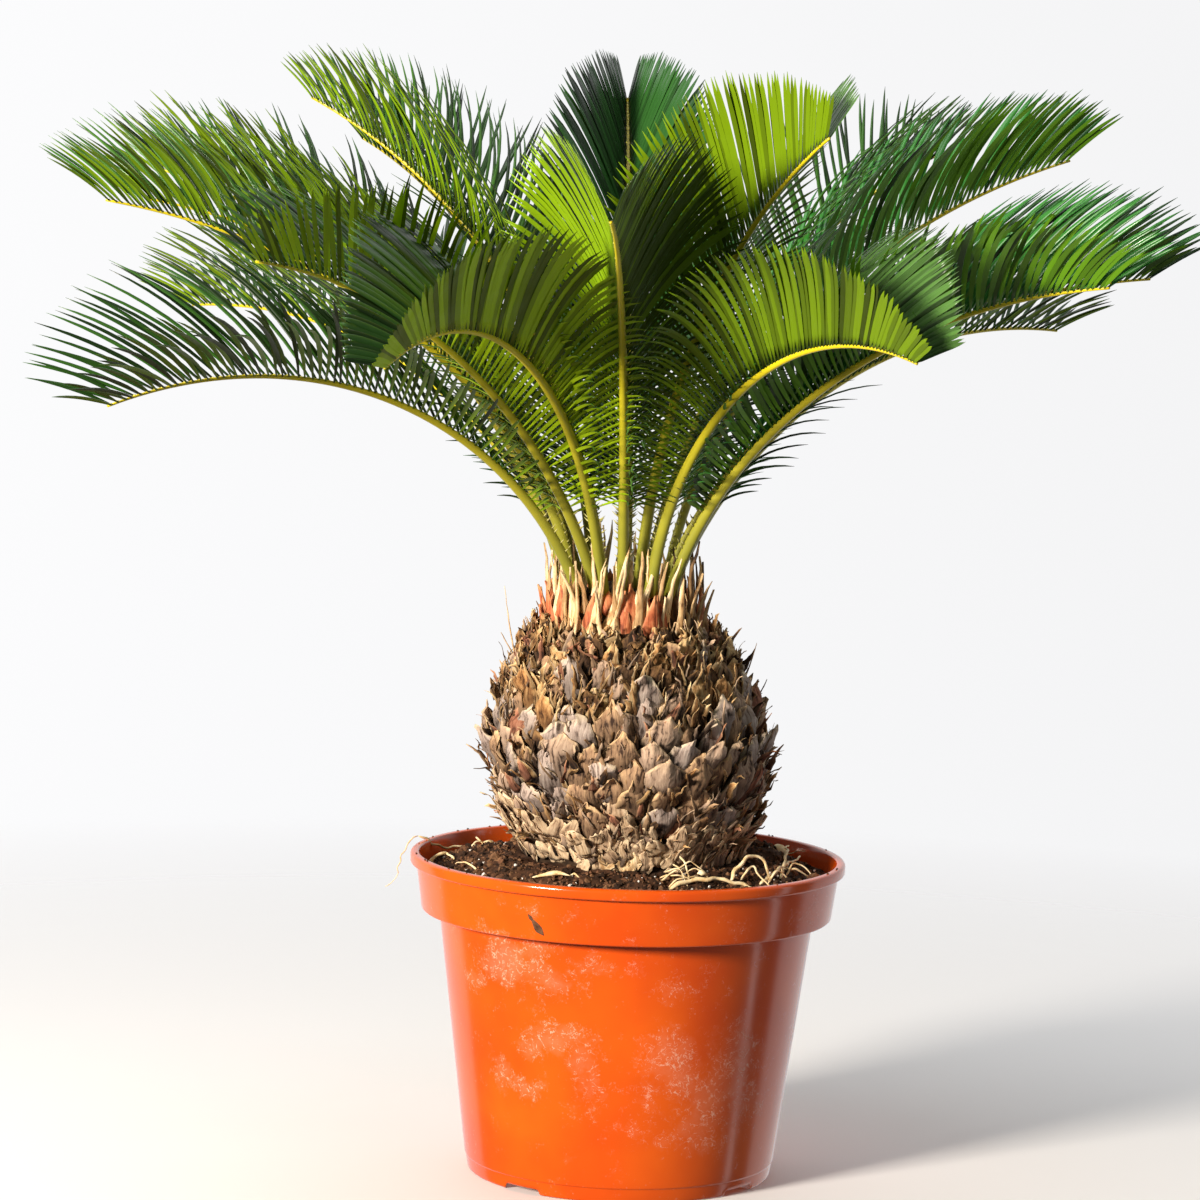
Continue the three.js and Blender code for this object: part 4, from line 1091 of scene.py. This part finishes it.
def leaflets(frond, number, half, rolled, tight, hooked, falcate, draw):
    """All leaflets of a frond, by the rule of the solids: `number` on each side, `half` wide each
    side of their middle and with margins rolled under by `rolled`. On a young frond they are still
    pressed forward, by `tight`. A leaflet starts at its spread and keel,
    start = cos(spread) along + sin(spread) out, and at each step turns towards its back by
    (curl + hooked) * t^1.6 and towards the frond's tip by falcate * t. An old leaflet faces away
    from its back. The closer a frond is to `tight` 1, the more its leaflets lie in one surface,
    which the paths of their neighbours give, but near the crown they are loose, narrow claws."""
    shares = PETIOLE + (1 - PETIOLE) * (np.arange(number) + 0.5) / number
    shares = np.tile(shares, 2) + draw.normal(0, 0.0012, 2 * number)
    side = np.repeat([1.0, -1.0], number)[:, None]
    place, along, left, up, level, _ = midrib(frond, np.clip(shares, 0, 1))
    chance = draw.normal(0, 1 - 0.6 * tight, (4, 2 * number))
    firm = eased(np.clip((shares - LOOSE_TO) / (FIRM_FROM - LOOSE_TO), 0, 1))
    claw = tight * (1 - firm)
    press = tight * firm
    # Chance moves each angle by a few degrees, and less on a young frond.
    angle, lift, bend = (
        np.interp(shares, ALONG, wide) * (1 - press) + np.interp(shares, ALONG, close) * press
        for wide, close in ((SPREAD, SPREAD_TIGHT), (KEEL, KEEL_TIGHT), (CURL, CURL_TIGHT)))
    spread = np.radians(angle + (2.6 - 1.6 * tight) * chance[0])[:, None]
    keel = np.radians(lift + (4.2 - 2.4 * tight) * chance[1])[:, None]
    curl = np.radians((bend + hooked + CLAW * claw) * (1 + 0.09 * chance[2]))[:, None]
    press = press[:, None, None]
    narrow, broad = np.interp(shares, SIZE_ALONG, SIZE_SHORT), np.interp(shares, SIZE_ALONG, SIZE_LONG)
    length = LEAFLET_LENGTH * (narrow + (broad - narrow) * frond[7]) * (1 + 0.025 * chance[3])
    start = tilted(along, tilted(side * left, up, keel), spread)
    back = tilted(-up, side * left, keel)
    t = ((STRAP_AT[1:] + STRAP_AT[:-1]) / 2)[None, :, None]
    bend, hook = curl[:, None] * t**1.6, np.radians(falcate) * t
    way = unit(tilted(tilted(start[:, None], back[:, None], bend), along[:, None], hook))
    foot = place + side * level * (0.75 * rib_half(shares))[:, None]
    paths = walked(foot, way * (length * STRAP_AT[1])[:, None, None])
    rows = paths.reshape(2, number, LEAFLET_STATIONS, 3)
    before, beyond = (np.clip(np.arange(number) + off, 0, number - 1) for off in (-REACH, REACH))
    next_door = (rows[:, beyond] - rows[:, before]).reshape(paths.shape)
    common = unit(np.cross(next_door, np.gradient(paths, axis=1)))
    common = common * np.sign(np.sum(common * -back[:, None], axis=-1, keepdims=True))
    face = unit(common * press - back[:, None] * (1 - press))
    twist = np.radians(draw.normal(OVERLAP_TIGHT * tight, 4.5 - 2.5 * tight, 2 * number))[:, None, None]
    face = tilted(face, along[:, None], twist)
    slim = (0.55 + 0.45 * np.clip(length / 90, 0, 1)) * draw.normal(1, 0.06, 2 * number)
    outline = STRAP_HALF + (STRAP_BLUNT - STRAP_HALF) * tight
    half = half + (LOOSE_HALF - half) * claw
    x = (slim * half)[:, None, None] * outline[:, None] * STRAP_X
    y = np.broadcast_to(STRAP_DEEP[:, None] * (STRAP_Y + rolled * STRAP_ROLL), x.shape)
    return *sweep(paths, face, np.stack([x, y], axis=-1)), foot


print("a leaflet:", LEAFLET_STATIONS, "rings of", len(STRAP_X), "points")


# %% Leaf blades: leathery, glossy above and matt below
# Cycad leaflets are stiff leather with a waxy upper skin, so the light from the walls shows on them
# as a pale sheen. Below they are matt and yellower. Age takes them from lime to bottle green.
def leaf_blade(name, shade, share, roughness, gloss):
    base = (*np.array(linear(shade)[:3]) * share, 1)
    made, tree, shader = material(name, roughness, Base_Color=base, Specular_IOR_Level=gloss)
    wax = cloud(tree, place_of(tree), 18, detail=3)
    satin = remap(tree, wax, 0.3, 0.7, roughness - 0.07, roughness + 0.1)
    tree.links.new(satin, shader.inputs["Roughness"])
    return made


# Age: its fronds, leaflets on each side, half their width, how far their margins roll under, how
# tightly they are pressed forward, how hooked and how falcate they are, and the shades above and below.
# The undersides of the front, arched and broad fronds have lighter shades as painted light, since those
# fronds lie in shade.
AGES = {
    "newest": ([7], 88, 2.7, 0.2, 1.0, 0, 10, "#476E36", "#86AA10"),
    "front": ([3], 88, 2.5, 0.2, 1.0, 0, 10, "#476E36", "#A0C014"),
    "young": ([9, 10], 88, 2.0, 0.3, 1.0, 0, 12, "#4C7434", "#6C8A0A"),
    "inner": ([8], 88, 3.1, 0.2, 1.0, 0, 10, "#2C5A24", "#6C9016"),
    "arched": ([5], 80, 1.75, 0.5, 0.3, 8, 14, "#3C6420", "#B0D018"),
    "broad": ([11, 12, 13], 78, 1.8, 0.5, 0.25, 6, 36, "#2F7428", "#5F9018"),
    "grown": ([2, 4, 6], 84, 1.12, 0.7, 0.1, 4, 36, "#407022", "#76980E"),
    "old": ([1, 14, 15, 16, 17, 18, 19, 20, 21], 66, 1.45, 0.8, 0.0, 4, 24, "#2F5A1A", "#6C880F"),
}
# Light, medium and dark leaflets are mixed by chance, and the dark ones also stand in for the shade
# between leaflets. For some fronds the shares of medium and dark ones are given, on the left and on
# the right as seen from the crown, as painted shade on fronds and sides that face away from the light,
# and fewer on fronds kept lighter as painted light: the rest have the usual shares.
TONES = (("", 1.0), (", medium", 0.6), (", dark", 0.24))
USUAL_SHARES = [(0.32, 0.2)] * 2
PAINTED_SHADE_SHARES = {3: [(0.36, 0.28)] * 2, 4: [(0.3, 0.05)] * 2, 7: [(0.3, 0.66), (0.12, 0.0)],
          8: [(0.4, 0.4), (0.3, 0.05)], 9: [(0.25, 0.03)] * 2, 10: [(0.34, 0.12)] * 2,
          11: [(0.4, 0.42), (0.4, 0.5)], 12: [(0.3, 0.06)] * 2, 13: [(0.3, 0.08)] * 2}
feet = []
for seed, (age, (numbers, *form, above, below)) in enumerate(AGES.items(), 101):
    draw = np.random.default_rng(seed)
    blades = Heap()
    for number in numbers:
        points, walls, caps, foot = leaflets(FRONDS[number - 1], *form, draw)
        margin = np.broadcast_to(STRAP_MARGIN, points.shape[:-1])
        # Medium and dark tones by chance, and by frond and side as painted shade.
        medium, dark = np.repeat(PAINTED_SHADE_SHARES.get(number, USUAL_SHARES), len(points) // 2, axis=0).T
        lot = draw.uniform(0, 1, len(points))
        tone = 2 * ((lot < medium + dark) * 1 + (lot < dark))
        blades.add(points, (walls, STRAP_BELOW + tone[:, None, None]), (caps, 1), margin=margin)
        feet.append(foot)
    faces = (("above", above, 0.33, 0.55), ("below", below, 0.5, 0.2))
    finishes = [leaf_blade(f"leaf blade {face}, {age}{word}", shade, share, roughness, gloss)
                for word, share in TONES for face, shade, roughness, gloss in faces]
    make(f"leaflets_{age}", blades, finishes, [f"frond_{n:02d}" for n in numbers])

# %% [markdown]
# The midrib is a firm rod, grooved above and rounded below. It is olive at the stalk and turns golden
# yellow between the leaflets. The stalk has short spines, the last of its leaflets, and every leaflet
# sits on a small pale cushion.

# %% Midribs
RIB_STATIONS, RIB_CORNERS = 56, 12
shares = np.linspace(0, 1, RIB_STATIONS)
paths, _, _, _, _, square = (np.array(part) for part in zip(*(midrib(frond, shares) for frond in FRONDS)))
half = rib_half(shares) * (1 + 0.22 * np.clip(1 - shares / 0.05, 0, 1) ** 2)
circle = ring(RIB_CORNERS, 0.85)
deep = np.where(circle[:, 1] > 0, 0.22, RIB_DEPTH)
across = np.where(circle[:, 1] < 0, 0.9, 1)
groove = np.where(circle[:, 1] > 0.9, -0.18, 0)
section = np.stack([circle[:, 0] * across, circle[:, 1] * deep + groove], axis=1)
ribs = Heap()
ribs.add_bars(0, *sweep(paths, square, half[None, :, None, None] * section), along=shares[:, None])
print(len(paths), "midribs of", RIB_STATIONS, "rings")

# %% Stalk spines and leaflet cushions
SPINES_A_SIDE, FIRST_SPINE = 9, 0.035
draw = np.random.default_rng(111)
prickles = np.tile(np.linspace(FIRST_SPINE, PETIOLE, SPINES_A_SIDE), 2)
side = np.repeat([1.0, -1.0], SPINES_A_SIDE)[:, None]
for frond in FRONDS:
    at = prickles + draw.normal(0, 0.003, len(prickles))
    place, along, _, up, level, _ = midrib(frond, at)
    foot = place + side * level * (0.85 * rib_half(at))[:, None]
    # They grow along the stalk, from 1.4 mm to 5 mm, and their tips bend forward.
    reach = 1.4 + 26 * np.clip(at - FIRST_SPINE, 0, 1) ** 0.9 + draw.uniform(-0.3, 0.6, len(at))
    tip = foot + reach[:, None] * unit(side * level + 0.35 * along + 0.3 * up)
    bent_tip = tip + 0.8 * along * reach[:, None] / 3
    paths = np.stack([foot, (foot + tip) / 2 + 0.3 * along, bent_tip], axis=1)
    sections = np.array([0.75, 0.45, 0.08])[None, :, None, None] * ring(5)
    ribs.add_bars(1, *sweep(paths, up[:, None], sections), along=0.1)
places = np.concatenate(feet)
size = draw.uniform(0.7, 1.05, (len(places), 1)) * np.array([1.0, 0.85, 0.85])
points, faces = lumps(places, size, draw, knobbly=0.1)
ribs.add(points, (faces, 1), along=0.5)
print(len(prickles) * len(FRONDS), "stalk spines and", len(places), "cushions")


# %% Stalk and midrib skin
# The skin is smooth and waxy. It is olive where it carries no leaflets and gold beyond.
def rib_skin(name, olive, gold, roughness):
    made, tree, shader = material(name, roughness)
    mottle = cloud(tree, place_of(tree), 8, detail=4)
    share = maths(tree, "MULTIPLY_ADD", mottle, 0.12, note(tree, "along"))
    colour = ramp(tree, share, (0.12, olive), (0.62, gold))
    return dressed(made, tree, shader, colour, mottle, depth_mm=0.2, strength=0.4)


make("midribs", ribs, [rib_skin("midrib skin", "#8A8A2E", "#D6C41A", 0.4),
                       rib_skin("leaflet cushion", "#B4AE6C", "#C4BC5C", 0.5)],
     [f"frond_{n:02d}" for n in range(1, len(FRONDS) + 1)])

# %% [markdown]
# ## Floor, light and camera
#
# The plant stands on a plain pale floor that fades into a pale room, so there is no horizon to draw
# the eye. A soft light stands at the left and in front, a weak one above lifts the crown, and the
# room has a tall window at the right. The camera is as high as the crown and looks slightly down.

# %% Floor
FLOOR_RADIUS, FLOOR_CORNERS = 1.6, 96
floor_mesh = bpy.data.meshes.new("floor")
circle = spokes(full_turn(FLOOR_CORNERS)) * FLOOR_RADIUS
floor_mesh.from_pydata(circle.tolist(), [], [list(range(FLOOR_CORNERS))])
floor = bpy.data.objects.new("floor", floor_mesh)
bpy.context.scene.collection.objects.link(floor)
paint, tree, shader = material("floor, pale matt paint", 0.7, Base_Color=linear("#EDECEB"))
away = node(tree, "VectorMath", {"operation": "LENGTH"}, in_0=place_of(tree)).outputs["Value"]
fade = remap(tree, away, 0.25, FLOOR_RADIUS - 0.1)
clear = node(tree, "BsdfTransparent").outputs[0]
faded = node(tree, "MixShader", in_0=fade, in_1=shader.outputs[0], in_2=clear)
tree.links.new(faded.outputs[0], tree.nodes["Material Output"].inputs["Surface"])
floor_mesh.materials.append(paint)
floor.visible_glossy = floor.visible_diffuse = False
print("floor:", FLOOR_RADIUS, "m in radius")

# %% Room
# Brightness round the room, by degrees from the front towards the right: dark behind the camera, a
# tall window at the right, and a white backdrop behind the plant.
COMPASS = [(-180, 0.9), (-127, 0.9), (-123, 0.14), (88.5, 0.2), (90, 2.2), (93, 2.2), (94.5, 0.14),
           (111, 0.14), (117, 0.9), (180, 0.9)]
world = bpy.data.worlds.new("pale room")
bpy.context.scene.world = world
world.use_nodes = True
tree = world.node_tree
room = tree.nodes["Background"]
way = node(tree, "SeparateXYZ", in_0=node(tree, "TexCoord").outputs["Generated"]).outputs
angle = maths(tree, "ARCTAN2", way["X"], maths(tree, "MULTIPLY", way["Y"], -1.0))
stops = [((degrees + 180) / 360, bright) for degrees, bright in COMPASS]
lit = ramp(tree, remap(tree, angle, -np.pi, np.pi), stops[0], stops[-1], *stops[1:-1])
# The room as the camera sees it is painted a little darker towards the right, as painted shade on the
# backdrop.
seen = remap(tree, way["X"], -0.2, 0.25, 1.0, 0.9)
camera_ray = node(tree, "LightPath").outputs["Is Camera Ray"]
strength = node(tree, "Mix", in_0=camera_ray, in_2=lit, in_3=seen)
room.inputs["Color"].default_value = linear("#FDFDFE")
tree.links.new(strength.outputs[0], room.inputs["Strength"])
print("room: brightest", max(bright for _, bright in COMPASS))


# %% Lights
def soft_light(name, place, aim, size, watts, shade):
    """A square light at `place` that faces `aim`, in metres."""
    data = bpy.data.lights.new(name, "AREA")
    data.size, data.energy, data.color = size, watts, linear(shade)[:3]
    lamp = bpy.data.objects.new(name, data)
    lamp.location = place
    lamp.rotation_euler = (Vector(aim) - Vector(place)).to_track_quat("-Z", "Y").to_euler()
    bpy.context.scene.collection.objects.link(lamp)
    print(f"{name} light: {size} m wide, {watts} W")


soft_light("key", (-2.01, -2.09, 1.08), (0, 0, 0.35), 0.6, 194, "#FFF4E6")
soft_light("top", (-0.4, 0.1, 2.4), (0, 0, 0.5), 0.8, 9, "#FFFFFF")

# %% Camera
CAMERA_PLACE, PITCH, ROLL, LENS = (-0.02296, -2.6, 0.6183), 5.475, 1.74, 122.4
lens = bpy.data.cameras.new("camera")
lens.lens, lens.sensor_width = LENS, 36
camera = bpy.data.objects.new("camera", lens)
look = Matrix.Rotation(np.radians(90 - PITCH), 4, "X") @ Matrix.Rotation(np.radians(ROLL), 4, "Z")
camera.matrix_world = Matrix.Translation(CAMERA_PLACE) @ look
bpy.context.scene.collection.objects.link(camera)
bpy.context.scene.camera = camera
bpy.context.scene.view_settings.view_transform = "Standard"
print("camera:", CAMERA_PLACE[2], "m high, looking down by", PITCH, "degrees")

# %% Finish
bpy.context.view_layer.update()
